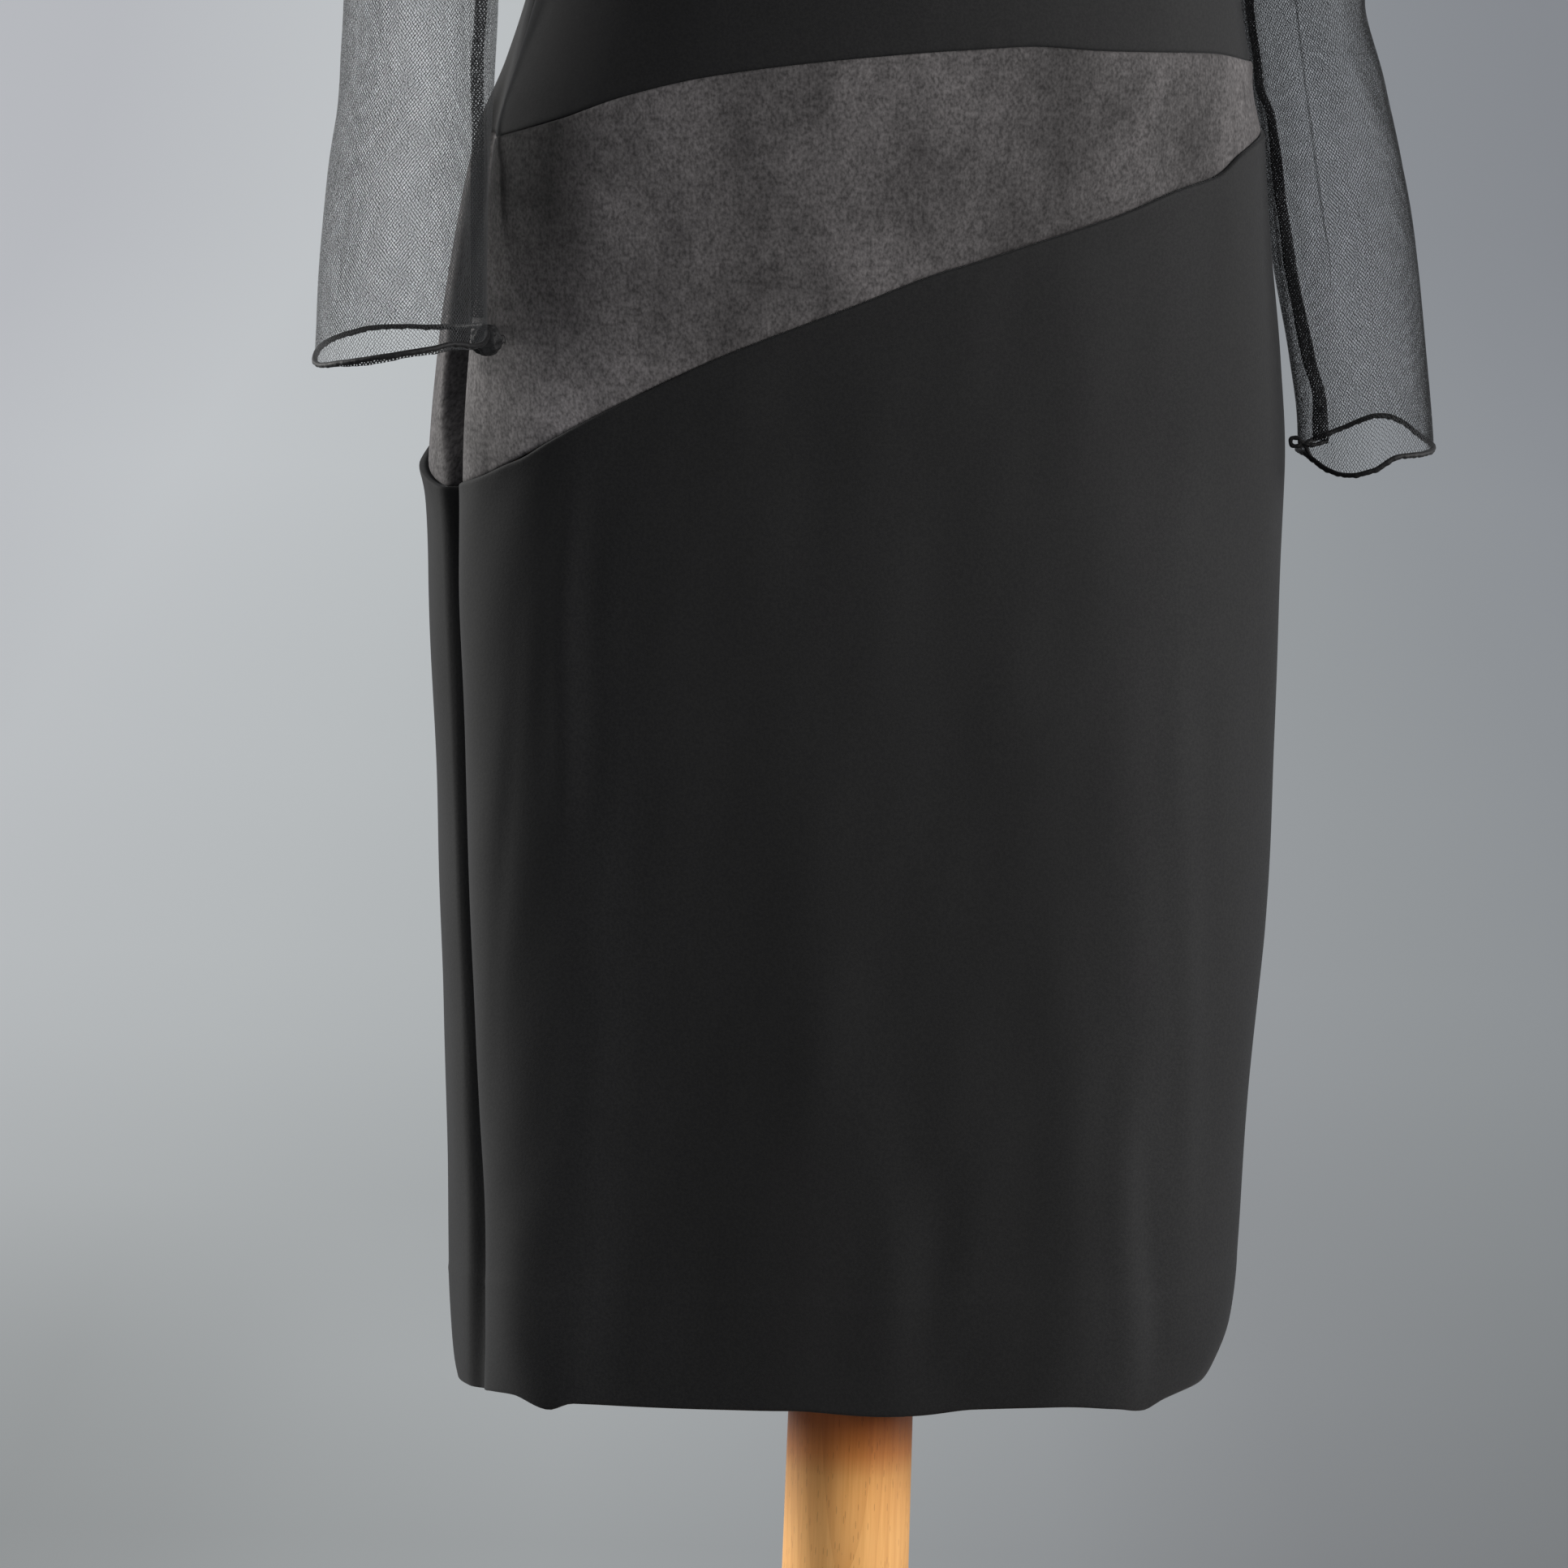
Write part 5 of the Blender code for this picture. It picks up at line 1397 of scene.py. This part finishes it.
# ---------------------------------------------------------------- materials
class Look:
    """A material with a Principled shader and short ways to add nodes."""

    def __init__(self, name, color, rough, **sockets):
        self.material = bpy.data.materials.new(name)
        self.material.use_nodes = True
        self.tree = self.material.node_tree
        self.shader = self.tree.nodes["Principled BSDF"]
        self.shader.inputs["Base Color"].default_value = (*color, 1)
        self.shader.inputs["Roughness"].default_value = rough
        for key, value in sockets.items():
            self.shader.inputs[key.replace("_", " ")].default_value = value
        self.column = 0

    def add(self, kind, **settings):
        node = self.tree.nodes.new(kind)
        node.location = (-260 * (self.column // 6) - 300, -190 * (self.column % 6))
        self.column += 1
        for key, value in settings.items():
            if key.startswith("in_"):
                label = key[3:]
                target = node.inputs[int(label)] if label.isdigit() else node.inputs[label.replace("_", " ")]
                if isinstance(value, bpy.types.NodeSocket):
                    self.tree.links.new(value, target)
                else:
                    target.default_value = value
            else:
                setattr(node, key, value)
        return node

    def link(self, a, b):
        self.tree.links.new(a, b)

    def math(self, operation, a, b=None, c=None, clamp=False):
        values = {"in_0": a}
        if b is not None:
            values["in_1"] = b
        if c is not None:
            values["in_2"] = c
        return self.add("ShaderNodeMath", operation=operation, use_clamp=clamp, **values).outputs[0]

    def stretched(self, source, scale, turn=(0, 0, 0)):
        return self.add("ShaderNodeMapping", in_Vector=source, in_Scale=scale, in_Rotation=turn).outputs[0]

    def noise(self, source, scale, detail=2.0, rough=0.5, distortion=0.0):
        node = self.add("ShaderNodeTexNoise", in_Vector=source, in_Scale=scale, in_Detail=detail, in_Roughness=rough, in_Distortion=distortion)
        return node.outputs["Fac"]

    def ramp(self, source, stops):
        node = self.add("ShaderNodeValToRGB", in_Fac=source)
        ramp = node.color_ramp
        while len(ramp.elements) < len(stops):
            ramp.elements.new(0.5)
        for element, (at, color) in zip(ramp.elements, stops):
            element.position = at
            element.color = (*color, 1) if len(color) == 3 else color
        return node.outputs["Color"]

    def spread(self, source, low, high, to_low, to_high):
        node = self.add("ShaderNodeMapRange", in_0=source, in_1=low, in_2=high, in_3=to_low, in_4=to_high)
        return node.outputs["Result"]

    def mixed(self, share, a, b, blend="MIX"):
        node = self.add("ShaderNodeMix", data_type="RGBA", blend_type=blend)
        for index, value in ((0, share), (6, a), (7, b)):
            if isinstance(value, bpy.types.NodeSocket):
                self.link(value, node.inputs[index])
            else:
                node.inputs[index].default_value = value if index == 0 else (*value, 1)
        return node.outputs[2]

    def turned(self, place):
        """The place on the object, in a frame turned 17 degrees about the upright axis."""
        return self.add("ShaderNodeSeparateXYZ", in_0=self.stretched(place, (1, 1, 1), (0, 0, math.radians(17.0)))).outputs

    def varied(self, source, stops):
        """A factor between 0 and 2 that runs through the given stops."""
        low, high = stops[0][0], stops[-1][0]
        at = self.spread(source, low, high, 0.0, 1.0)
        grey = self.ramp(at, [((place - low) / (high - low), (value / 2,) * 3) for place, value in stops])
        return self.math("MULTIPLY", grey, 2.0)

    def bumped(self, height, strength, distance, under=None):
        node = self.add("ShaderNodeBump", in_Height=height, in_Strength=strength, in_Distance=distance)
        if under is not None:
            self.link(under, node.inputs["Normal"])
        return node.outputs["Normal"]


def crepe_look():
    look = Look(
        "crepe",
        (0.0105, 0.0105, 0.0112),
        0.72,
        Specular_IOR_Level=0.14,
        Sheen_Weight=0.07,
        Sheen_Roughness=0.40,
        Sheen_Tint=(0.90, 0.93, 0.97, 1),
    )
    place = look.add("ShaderNodeTexCoord").outputs["Object"]
    grain = look.noise(place, 820, 2.0, 0.65)
    cloudy = look.noise(look.stretched(place, (1, 1, 0.35)), 14, 2.0, 0.55)
    tone = look.ramp(cloudy, [(0.25, (0.0086, 0.0086, 0.0092)), (0.75, (0.0112, 0.0112, 0.0117))])
    speckled = look.mixed(look.spread(grain, 0.36, 0.64, 0.0, 1.0), tone, (0.0200, 0.0199, 0.0200), "MIX")
    tone = look.mixed(0.45, tone, speckled)
    # Painted light and shade: the tone is set lighter and darker across the front, as the light falls there, and fades
    # to a small share higher up.
    across, _, height = look.turned(place)
    uneven_and_painted_shade = look.varied(across, [(-0.165, 1.0), (-0.145, 1.2), (-0.131, 1.75), (-0.1135, 1.75), (-0.096, 1.15), (-0.0615, 0.72), (-0.027, 0.58), (0.010, 0.74), (0.042, 0.74), (0.077, 0.62), (0.105, 0.90), (0.134, 1.15), (0.150, 1.0)])
    share = look.spread(height, 0.60, 0.95, 1.0, 0.15)
    uneven_and_painted_shade = look.math("MULTIPLY_ADD", look.math("SUBTRACT", uneven_and_painted_shade, 1.0), share, 1.0)
    tone = look.mixed(1.0, tone, uneven_and_painted_shade, "MULTIPLY")
    # A few bits of lint.
    lint = look.add("ShaderNodeTexVoronoi", in_Vector=look.stretched(place, (1, 1, 0.6), (0.3, 0.2, 0.5)), in_Scale=34.0)
    far = look.math("LESS_THAN", lint.outputs["Distance"], 0.016)
    few = look.math("GREATER_THAN", look.add("ShaderNodeSeparateColor", in_0=lint.outputs["Color"]).outputs[0], 0.93)
    tone = look.mixed(look.math("MULTIPLY", far, few), tone, (0.16, 0.16, 0.165))
    look.link(tone, look.shader.inputs["Base Color"])
    look.link(look.spread(cloudy, 0.3, 0.7, 0.74, 0.84), look.shader.inputs["Roughness"])
    look.link(look.bumped(grain, 0.38, 0.00016), look.shader.inputs["Normal"])
    return look.material


def band_look():
    look = Look(
        "satin_backed_band",
        (0.050, 0.047, 0.048),
        0.70,
        Specular_IOR_Level=0.12,
        Sheen_Weight=0.08,
        Sheen_Roughness=0.35,
        Sheen_Tint=(0.95, 0.94, 0.96, 1),
    )
    flat = look.add("ShaderNodeUVMap", uv_map="cloth").outputs["UV"]
    nap = look.noise(look.stretched(flat, (760, 520, 1)), 1.0, 1.0, 0.6)
    slubs = look.noise(look.stretched(flat, (260, 180, 1)), 1.0, 1.0, 0.5)
    blotch = look.noise(look.stretched(flat, (30, 20, 1)), 1.0, 3.0, 0.70, 0.4)
    grain = look.math("ADD", look.math("MULTIPLY", nap, 0.68), look.math("MULTIPLY", slubs, 0.32))
    dark = look.ramp(blotch, [(0.30, (0.041, 0.0384, 0.0390)), (0.50, (0.062, 0.0583, 0.0590)), (0.70, (0.084, 0.0785, 0.0796))])
    tone = look.mixed(look.spread(grain, 0.34, 0.66, 0.0, 1.0), look.mixed(1.0, dark, (0.65, 0.65, 0.65), "MULTIPLY"), look.mixed(1.0, dark, (1.68, 1.68, 1.68), "MULTIPLY"))
    # Painted light and shade: the tone is set lighter and darker across the band, as the light falls there.
    across, deep, height = look.turned(look.add("ShaderNodeTexCoord").outputs["Object"])
    painted_light_and_shade = look.varied(across, [(-0.170, 1.0), (-0.150, 1.15), (-0.137, 1.45), (-0.103, 1.45), (-0.068, 0.95), (-0.034, 1.0), (0.001, 1.12), (0.036, 0.86), (0.070, 0.56), (0.105, 0.74), (0.135, 0.56), (0.150, 1.0)])
    # Painted shadow where the sleeve shades the band's upper front corner at the wearer's right, and painted light
    # below it.
    corner = look.math("MULTIPLY", look.spread(across, -0.146, -0.124, 1.0, 0.0), look.spread(height, 0.925, 0.960, 0.0, 1.0))
    corner = look.math("MULTIPLY", corner, look.spread(deep, -0.060, -0.036, 1.0, 0.0))
    painted_light_and_shade = look.math("MULTIPLY", painted_light_and_shade, look.math("MULTIPLY_ADD", corner, -0.80, 1.0))
    painted_light_below = look.math("MULTIPLY", look.spread(across, -0.140, -0.105, 1.0, 0.0), look.spread(height, 0.880, 0.915, 1.0, 0.0))
    painted_light_below = look.math("MULTIPLY", painted_light_below, look.spread(across, -0.170, -0.155, 0.0, 1.0))
    painted_light_and_shade = look.math("MULTIPLY", painted_light_and_shade, look.math("MULTIPLY_ADD", painted_light_below, 1.0, 1.0))
    tone = look.mixed(1.0, tone, painted_light_and_shade, "MULTIPLY")
    look.link(tone, look.shader.inputs["Base Color"])
    look.link(look.spread(grain, 0.3, 0.7, 0.82, 0.66), look.shader.inputs["Roughness"])
    coarse = look.bumped(blotch, 0.20, 0.0015)
    look.link(look.bumped(grain, 0.30, 0.00016, coarse), look.shader.inputs["Normal"])
    return look.material


def net_look(name, cover, spacing=0.00118, color=(0.050, 0.052, 0.055), closes=3.3, dims=0.33):
    """Sheer cloth: fine threads in two slanting directions, clear between them. Seen edge on, the round threads close up."""
    look = Look(name, color, 0.7, Specular_IOR_Level=0.06)
    flat = look.add("ShaderNodeUVMap", uv_map="cloth").outputs["UV"]
    jitter = look.add("ShaderNodeTexNoise", in_Vector=flat, in_Scale=640.0, in_Detail=0.0).outputs["Color"]
    moved = look.add("ShaderNodeVectorMath", operation="MULTIPLY_ADD", in_0=jitter, in_1=(0.00095, 0.00095, 0), in_2=flat).outputs[0]
    parts = look.add("ShaderNodeSeparateXYZ", in_0=moved)
    u = look.math("MULTIPLY", parts.outputs[0], 0.80 / spacing)
    v = look.math("MULTIPLY", parts.outputs[1], 0.60 / spacing)
    uneven_and_painted_shade = look.noise(look.stretched(flat, (70, 20, 1)), 1.0, 2.0, 0.6)
    edge_on = look.spread(look.add("ShaderNodeLayerWeight", in_Blend=0.5).outputs["Facing"], 0.50, 1.0, 1.0, closes)
    share = look.math("MULTIPLY", look.spread(uneven_and_painted_shade, 0.3, 0.7, cover * 0.27 * 0.84, cover * 0.27 * 1.16), edge_on)
    masks = []
    for way in ("ADD", "SUBTRACT"):
        at = look.math("FRACT", look.math(way, u, v))
        gap = look.math("ABSOLUTE", look.math("SUBTRACT", at, 0.5))
        masks.append(look.math("LESS_THAN", gap, share))
    mask = look.math("MAXIMUM", masks[0], masks[1])
    thread = look.ramp(uneven_and_painted_shade, [(0.3, tuple(c * 0.75 for c in color)), (0.7, tuple(c * 1.3 for c in color))])
    # Edge on the threads shade each other.
    shaded = look.mixed(look.spread(edge_on, 1.0, 1.9, 0.0, 1.0), thread, tuple(c * dims for c in color))
    look.link(shaded, look.shader.inputs["Base Color"])
    clear = look.add("ShaderNodeBsdfTransparent")
    mix = look.add("ShaderNodeMixShader", in_0=mask)
    look.link(clear.outputs[0], mix.inputs[1])
    look.link(look.shader.outputs[0], mix.inputs[2])
    look.link(mix.outputs[0], look.tree.nodes["Material Output"].inputs["Surface"])
    return look.material


def cord_look():
    look = Look("rolled_net", (0.006, 0.006, 0.007), 0.7, Specular_IOR_Level=0.22, Sheen_Weight=0.05, Sheen_Roughness=0.35)
    flat = look.add("ShaderNodeUVMap", uv_map="cloth").outputs["UV"]
    wraps = look.noise(look.stretched(flat, (900, 1400, 1), (0, 0, 0.6)), 1.0, 3.0, 0.6)
    tone = look.ramp(wraps, [(0.35, (0.003, 0.003, 0.0035)), (0.65, (0.015, 0.015, 0.016))])
    look.link(tone, look.shader.inputs["Base Color"])
    look.link(look.spread(wraps, 0.3, 0.7, 0.5, 0.72), look.shader.inputs["Roughness"])
    look.link(look.bumped(wraps, 0.7, 0.0003), look.shader.inputs["Normal"])
    return look.material


def beech_look():
    look = Look("beech", (0.62, 0.36, 0.17), 0.50, Specular_IOR_Level=0.4, Coat_Weight=0.05, Coat_Roughness=0.3)
    place = look.add("ShaderNodeTexCoord").outputs["Object"]
    # The boards' growth rings cross the pole from front to back and wander with height.
    wander = look.noise(look.stretched(place, (9, 9, 3.2)), 1.0, 2.0, 0.5)
    wander_fine = look.noise(look.stretched(place, (60, 60, 14)), 1.0, 2.0, 0.5)
    parts = look.add("ShaderNodeSeparateXYZ", in_0=look.stretched(place, (1, 1, 1), (0, 0, 0.42)))
    depth = look.math("MULTIPLY_ADD", wander, 0.034, parts.outputs[1])
    depth = look.math("MULTIPLY_ADD", wander_fine, 0.0012, depth)
    wave = look.math("FRACT", look.math("MULTIPLY", depth, 1 / 0.0046))
    ring = look.math("POWER", wave, 3.0)
    grain = look.noise(look.stretched(place, (820, 820, 26)), 1.0, 3.0, 0.6)
    flecks = look.add("ShaderNodeTexVoronoi", in_Vector=look.stretched(place, (760, 760, 105)), in_Scale=1.0, in_Randomness=1.0)
    fleck = look.math("LESS_THAN", flecks.outputs["Distance"], 0.20)
    base = look.ramp(grain, [(0.30, (0.760, 0.370, 0.105)), (0.70, (0.900, 0.480, 0.165))])
    base = look.mixed(look.math("MULTIPLY", ring, 0.55), base, (0.640, 0.285, 0.078))
    base = look.mixed(look.math("MULTIPLY", fleck, 0.45), base, (0.330, 0.130, 0.036))
    cloudy = look.noise(look.stretched(place, (16, 16, 5)), 1.0, 3.0, 0.5)
    base = look.mixed(look.spread(cloudy, 0.35, 0.70, 0.0, 0.35), base, (0.930, 0.540, 0.215))
    # Painted shade: the pole is darker and redder where the hem shades its top, and darker toward its right side.
    across, _, height = look.turned(place)
    painted_hem_shadow = look.ramp(
        look.spread(height, 0.366, 0.430, 0.0, 1.0),
        [(0.0, (1, 1, 1)), (0.42, (0.97, 0.89, 0.80)), (0.59, (0.82, 0.56, 0.38)), (0.70, (0.70, 0.42, 0.23)), (0.81, (0.64, 0.33, 0.15)), (1.0, (0.55, 0.26, 0.10))],
    )
    on_pole = look.math("MULTIPLY", look.spread(height, 0.05, 0.12, 0.0, 1.0), look.spread(height, 0.60, 0.66, 1.0, 0.0))
    # Painted shade: the pole's right side is set darker.
    aside = look.varied(across, [(-0.028, 1.0), (-0.012, 1.04), (0.0, 1.06), (0.010, 0.98), (0.018, 0.80), (0.028, 0.66)])
    aside = look.math("MULTIPLY_ADD", look.math("SUBTRACT", aside, 1.0), on_pole, 1.0)
    base = look.mixed(1.0, base, aside, "MULTIPLY")
    base = look.mixed(on_pole, base, look.mixed(1.0, base, painted_hem_shadow, "MULTIPLY"))
    look.link(base, look.shader.inputs["Base Color"])
    look.link(look.spread(grain, 0.3, 0.7, 0.50, 0.36), look.shader.inputs["Roughness"])
    look.link(look.bumped(look.math("SUBTRACT", grain, look.math("MULTIPLY", fleck, 0.6)), 0.12, 0.0003), look.shader.inputs["Normal"])
    return look.material


def cover_look():
    look = Look("cotton_cover", (0.60, 0.55, 0.47), 0.85, Specular_IOR_Level=0.25, Sheen_Weight=0.25, Sheen_Roughness=0.5)
    place = look.add("ShaderNodeTexCoord").outputs["Object"]
    ribs = look.add("ShaderNodeTexWave", in_Vector=place, in_Scale=95.0, in_Distortion=0.6, in_Detail=2.0, in_Detail_Scale=2.0)
    knit = look.noise(look.stretched(place, (900, 900, 500)), 1.0, 2.0, 0.6)
    cloudy = look.noise(place, 22, 3.0, 0.5)
    grain = look.math("ADD", look.math("MULTIPLY", ribs.outputs["Fac"], 0.4), look.math("MULTIPLY", knit, 0.6))
    tone = look.ramp(cloudy, [(0.3, (0.52, 0.475, 0.40)), (0.7, (0.63, 0.585, 0.505))])
    tone = look.mixed(look.spread(grain, 0.3, 0.75, 0.0, 0.35), tone, (0.38, 0.34, 0.28))
    look.link(tone, look.shader.inputs["Base Color"])
    look.link(look.spread(knit, 0.3, 0.7, 0.8, 0.92), look.shader.inputs["Roughness"])
    look.link(look.bumped(grain, 0.35, 0.0004), look.shader.inputs["Normal"])
    return look.material


looks = {
    "crepe": crepe_look(),
    "band": band_look(),
    # Both sleeves are one net; the right one's copy is painted lighter, with weaker painted edge shade than the left
    # one's.
    "sleeve_left": net_look("sheer_mesh_left", 0.235),
    "sleeve_right": net_look("sheer_mesh_right_painted_lighter", 0.228, color=(0.058, 0.060, 0.063), closes=1.5, dims=0.8),
    "seam_left": net_look("sheer_mesh_folded", 1.25, 0.0010, (0.011, 0.011, 0.012)),
    "seam_right": net_look("sheer_mesh_stitched", 1.0, 0.0012, (0.036, 0.037, 0.039)),
    "extra_left_crease": net_look("sheer_mesh_creased", 0.24, 0.0006, (0.036, 0.037, 0.039)),
    "cuff": cord_look(),
    "cover": cover_look(),
    "beech": beech_look(),
}

# ---------------------------------------------------------------- what each piece is
SLOTS = {
    "skirt": "crepe", "bodice": "crepe", "band": "band", "sleeve": "sheer", "seam": "sheer", "cuff": "cuff", "extra": "cuff",
    "form_torso": "cover", "form_neck_cap": "beech", "form_pole": "beech", "form_base": "beech",
}  # fmt: skip
for name, obj in pieces.items():
    slot = SLOTS.get(name) or SLOTS[name.split("_")[0]]
    look = name if name in looks else "seam_right" if name == "extra_right_edge" else slot
    obj.data.materials.clear()
    obj.data.materials.append(looks[look])
    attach(obj, "root")
    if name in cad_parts:
        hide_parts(name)
for side in ("left", "right"):
    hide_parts("cuff_roll_" + side)

# Each panel's cut: width, length, area.
CUTS = {
    "skirt_front": (0.55, 0.56, 0.225), "skirt_back_left": (0.27, 0.56, 0.133), "skirt_back_right": (0.30, 0.51, 0.116),
    "band_front": (0.40, 0.20, 0.043), "band_back_left": (0.19, 0.10, 0.0134), "band_back_right": (0.24, 0.20, 0.0337),
    "bodice_front": (0.40, 0.50, 0.181), "bodice_back_left": (0.24, 0.46, 0.0906), "bodice_back_right": (0.24, 0.50, 0.0945),
    "sleeve_left": (0.31, 0.60, 0.142), "sleeve_right": (0.31, 0.56, 0.136),
}  # fmt: skip
for name, (wide, long, area) in CUTS.items():
    part, side = name.split("_", 1)
    if part == "bodice":
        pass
    elif part == "sleeve":
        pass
    else:
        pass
    extra = [pieces[k] for k in (f"seam_{side}", f"cuff_{side}") if part == "sleeve"]
    extra += [o for k, o in pieces.items() if part == "sleeve" and k.startswith("extra_" + side)]

# ---------------------------------------------------------------- floor, light and camera
def bowl():
    """A floor that rises into a wall all round and closes overhead. It glows with painted light: brighter at one side
    than the other, changing with distance, with a painted pool of light near the middle.
    """
    profile = [(r, 0.0) for r in (0.0, 0.4, 0.8, 1.4, 2.2, 3.2, 4.5, 6.0, 8.0, 10.0)]
    profile += [(10.0 + 3.5 * math.sin(math.radians(a)), 3.5 * (1 - math.cos(math.radians(a)))) for a in range(9, 91, 9)]
    profile += [(13.5, 6.0), (13.5, 8.5)]
    profile += [(13.5 * math.cos(math.radians(a)), 8.5 + 5.0 * math.sin(math.radians(a))) for a in range(10, 90, 10)] + [(0.0, 13.5)]
    sides = 96
    turn = np.arange(sides) * 2 * np.pi / sides
    points, faces = [], []
    for r, z in profile:
        points += [(r * math.cos(a), r * math.sin(a), z) for a in turn] if r else [(0.0, 0.0, z)]
    start = 1
    faces += [(0, start + k, start + (k + 1) % sides) for k in range(sides)]
    for row in range(1, len(profile) - 2):
        a, b = 1 + (row - 1) * sides, 1 + row * sides
        faces += [(a + k, b + k, b + (k + 1) % sides, a + (k + 1) % sides) for k in range(sides)]
    last = 1 + (len(profile) - 3) * sides
    faces += [(last + k, len(points) - 1, last + (k + 1) % sides) for k in range(sides)]
    mesh = bpy.data.meshes.new("studio_floor")
    mesh.from_pydata(points, [], faces)
    mesh.update()
    mesh.shade_smooth()
    obj = bpy.data.objects.new("studio_floor", mesh)
    bpy.context.scene.collection.objects.link(obj)
    look = Look("studio_floor", (0.45, 0.46, 0.48), 0.9, Specular_IOR_Level=0.1)
    place = look.add("ShaderNodeTexCoord").outputs["Object"]
    parts = look.add("ShaderNodeSeparateXYZ", in_0=look.stretched(place, (1, 1, 1), (0, 0, math.radians(TURN))))
    side = look.spread(parts.outputs[0], -1.2, 1.2, 0.0, 1.0)
    # Painted light: the glow is brighter at one side than the other.
    tone = look.ramp(
        side,
        [
            (0.00, (0.480, 0.492, 0.520)), (0.17, (0.528, 0.548, 0.566)), (0.30, (0.500, 0.524, 0.536)), (0.375, (0.472, 0.496, 0.508)),
            (0.50, (0.405, 0.425, 0.440)), (0.625, (0.344, 0.360, 0.378)), (0.71, (0.308, 0.326, 0.340)), (0.80, (0.276, 0.292, 0.310)),
            (0.90, (0.254, 0.268, 0.290)), (1.00, (0.240, 0.252, 0.274)),
        ],
    )
    deep = look.spread(look.math("ABSOLUTE", parts.outputs[1]), 0.0, 12.0, 0.0, 1.0)
    # Painted light that changes with distance from the middle.
    painted_falloff = look.ramp(
        deep,
        [(0.0, (0.44,) * 3), (0.125, (0.47,) * 3), (0.145, (0.515,) * 3), (0.17, (0.575,) * 3), (0.212, (0.672,) * 3), (0.24, (0.735,) * 3), (0.267, (0.80,) * 3), (0.30, (0.855,) * 3), (0.39, (0.935,) * 3), (0.60, (1.03,) * 3), (1.0, (1.02,) * 3)],
    )
    tone = look.mixed(1.0, tone, painted_falloff, "MULTIPLY")
    # A painted pool of light near the middle.
    painted_light_pool = look.varied(side, [(0.29, 0.90), (0.33, 0.98), (0.361, 1.07), (0.43, 1.22), (0.48, 1.23), (0.56, 1.19), (0.59, 1.12), (0.63, 1.05), (0.70, 1.0)])
    painted_light_pool = look.math("MULTIPLY_ADD", look.math("SUBTRACT", painted_light_pool, 1.0), look.spread(deep, 0.165, 0.215, 1.0, 0.0), 1.0)
    tone = look.mixed(1.0, tone, painted_light_pool, "MULTIPLY")
    base = look.mixed(1.0, tone, (0.35, 0.35, 0.35), "MULTIPLY")
    look.link(base, look.shader.inputs["Base Color"])
    look.link(tone, look.shader.inputs["Emission Color"])
    look.shader.inputs["Emission Strength"].default_value = GLOW
    look.material.cycles.emission_sampling = "NONE"
    obj.data.materials.append(look.material)
    obj.visible_diffuse = False
    return obj


TURN, DOWN, TILT = 17.0, 8.5, 1.84  # the camera looks from the wearer's right, downwards, and leans
GLOW = 0.90
bowl()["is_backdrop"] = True

phi, e, rho = (math.radians(a) for a in (TURN, DOWN, TILT))
forward = np.array((math.sin(phi) * math.cos(e), math.cos(phi) * math.cos(e), -math.sin(e)))
level = np.array((math.cos(phi), -math.sin(phi), 0.0))
rise = np.array((math.sin(phi) * math.sin(e), math.cos(phi) * math.sin(e), math.cos(e)))
right = level * math.cos(rho) + rise * math.sin(rho)
up = -level * math.sin(rho) + rise * math.cos(rho)
lens = bpy.data.cameras.new("camera")
lens.lens = 208.70
lens.sensor_width = 36.0
lens.clip_end = 100
camera = bpy.data.objects.new("camera", lens)
bpy.context.scene.collection.objects.link(camera)
at = (-1.1934952, -3.7721259, 1.2900150)
camera.matrix_world = Matrix([(right[k], up[k], -forward[k], at[k]) for k in range(3)] + [(0, 0, 0, 1)])
bpy.context.scene.camera = camera


def softbox(name, place, target, size, power, color=(1, 1, 1)):
    light = bpy.data.lights.new(name, "AREA")
    light.shape = "RECTANGLE"
    light.size, light.size_y = size
    light.energy = power
    light.color = color
    obj = bpy.data.objects.new(name, light)
    z = unit(np.array(place, float) - np.array(target, float))
    x = unit(np.cross((0, 0, 1.0), z))
    y = np.cross(z, x)
    obj.matrix_world = Matrix([(x[k], y[k], z[k], place[k]) for k in range(3)] + [(0, 0, 0, 1)])
    obj.visible_camera = False
    bpy.context.scene.collection.objects.link(obj)
    return obj


softbox("light_key", (2.35, -2.75, 1.95), (0.0, 0.0, 0.75), (1.1, 1.6), 142, (1.0, 0.985, 0.965))
softbox("light_high", (-0.6, -3.2, 3.1), (0.0, 0.0, 0.8), (2.0, 1.5), 16, (1.0, 0.99, 0.98))
softbox("light_left", (-2.55, 1.85, 1.35), (0.0, 0.0, 0.8), (0.9, 1.3), 150, (1.0, 0.99, 0.96))
softbox("light_grazing", (3.1, -0.35, 1.25), (0.0, 0.0, 0.75), (1.0, 1.5), 66, (1.0, 0.99, 0.98))

world = bpy.data.worlds.new("studio")
world.use_nodes = True
world.node_tree.nodes["Background"].inputs["Color"].default_value = (0.5, 0.52, 0.55, 1)
world.node_tree.nodes["Background"].inputs["Strength"].default_value = 0.26
bpy.context.scene.world = world
bpy.context.scene.cycles.max_bounces = 4
bpy.context.scene.cycles.diffuse_bounces = 1
bpy.context.scene.cycles.glossy_bounces = 1
bpy.context.scene.cycles.transparent_max_bounces = 24
bpy.context.scene.view_settings.view_transform = "Standard"
bpy.context.scene.view_settings.look = "None"

low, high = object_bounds()
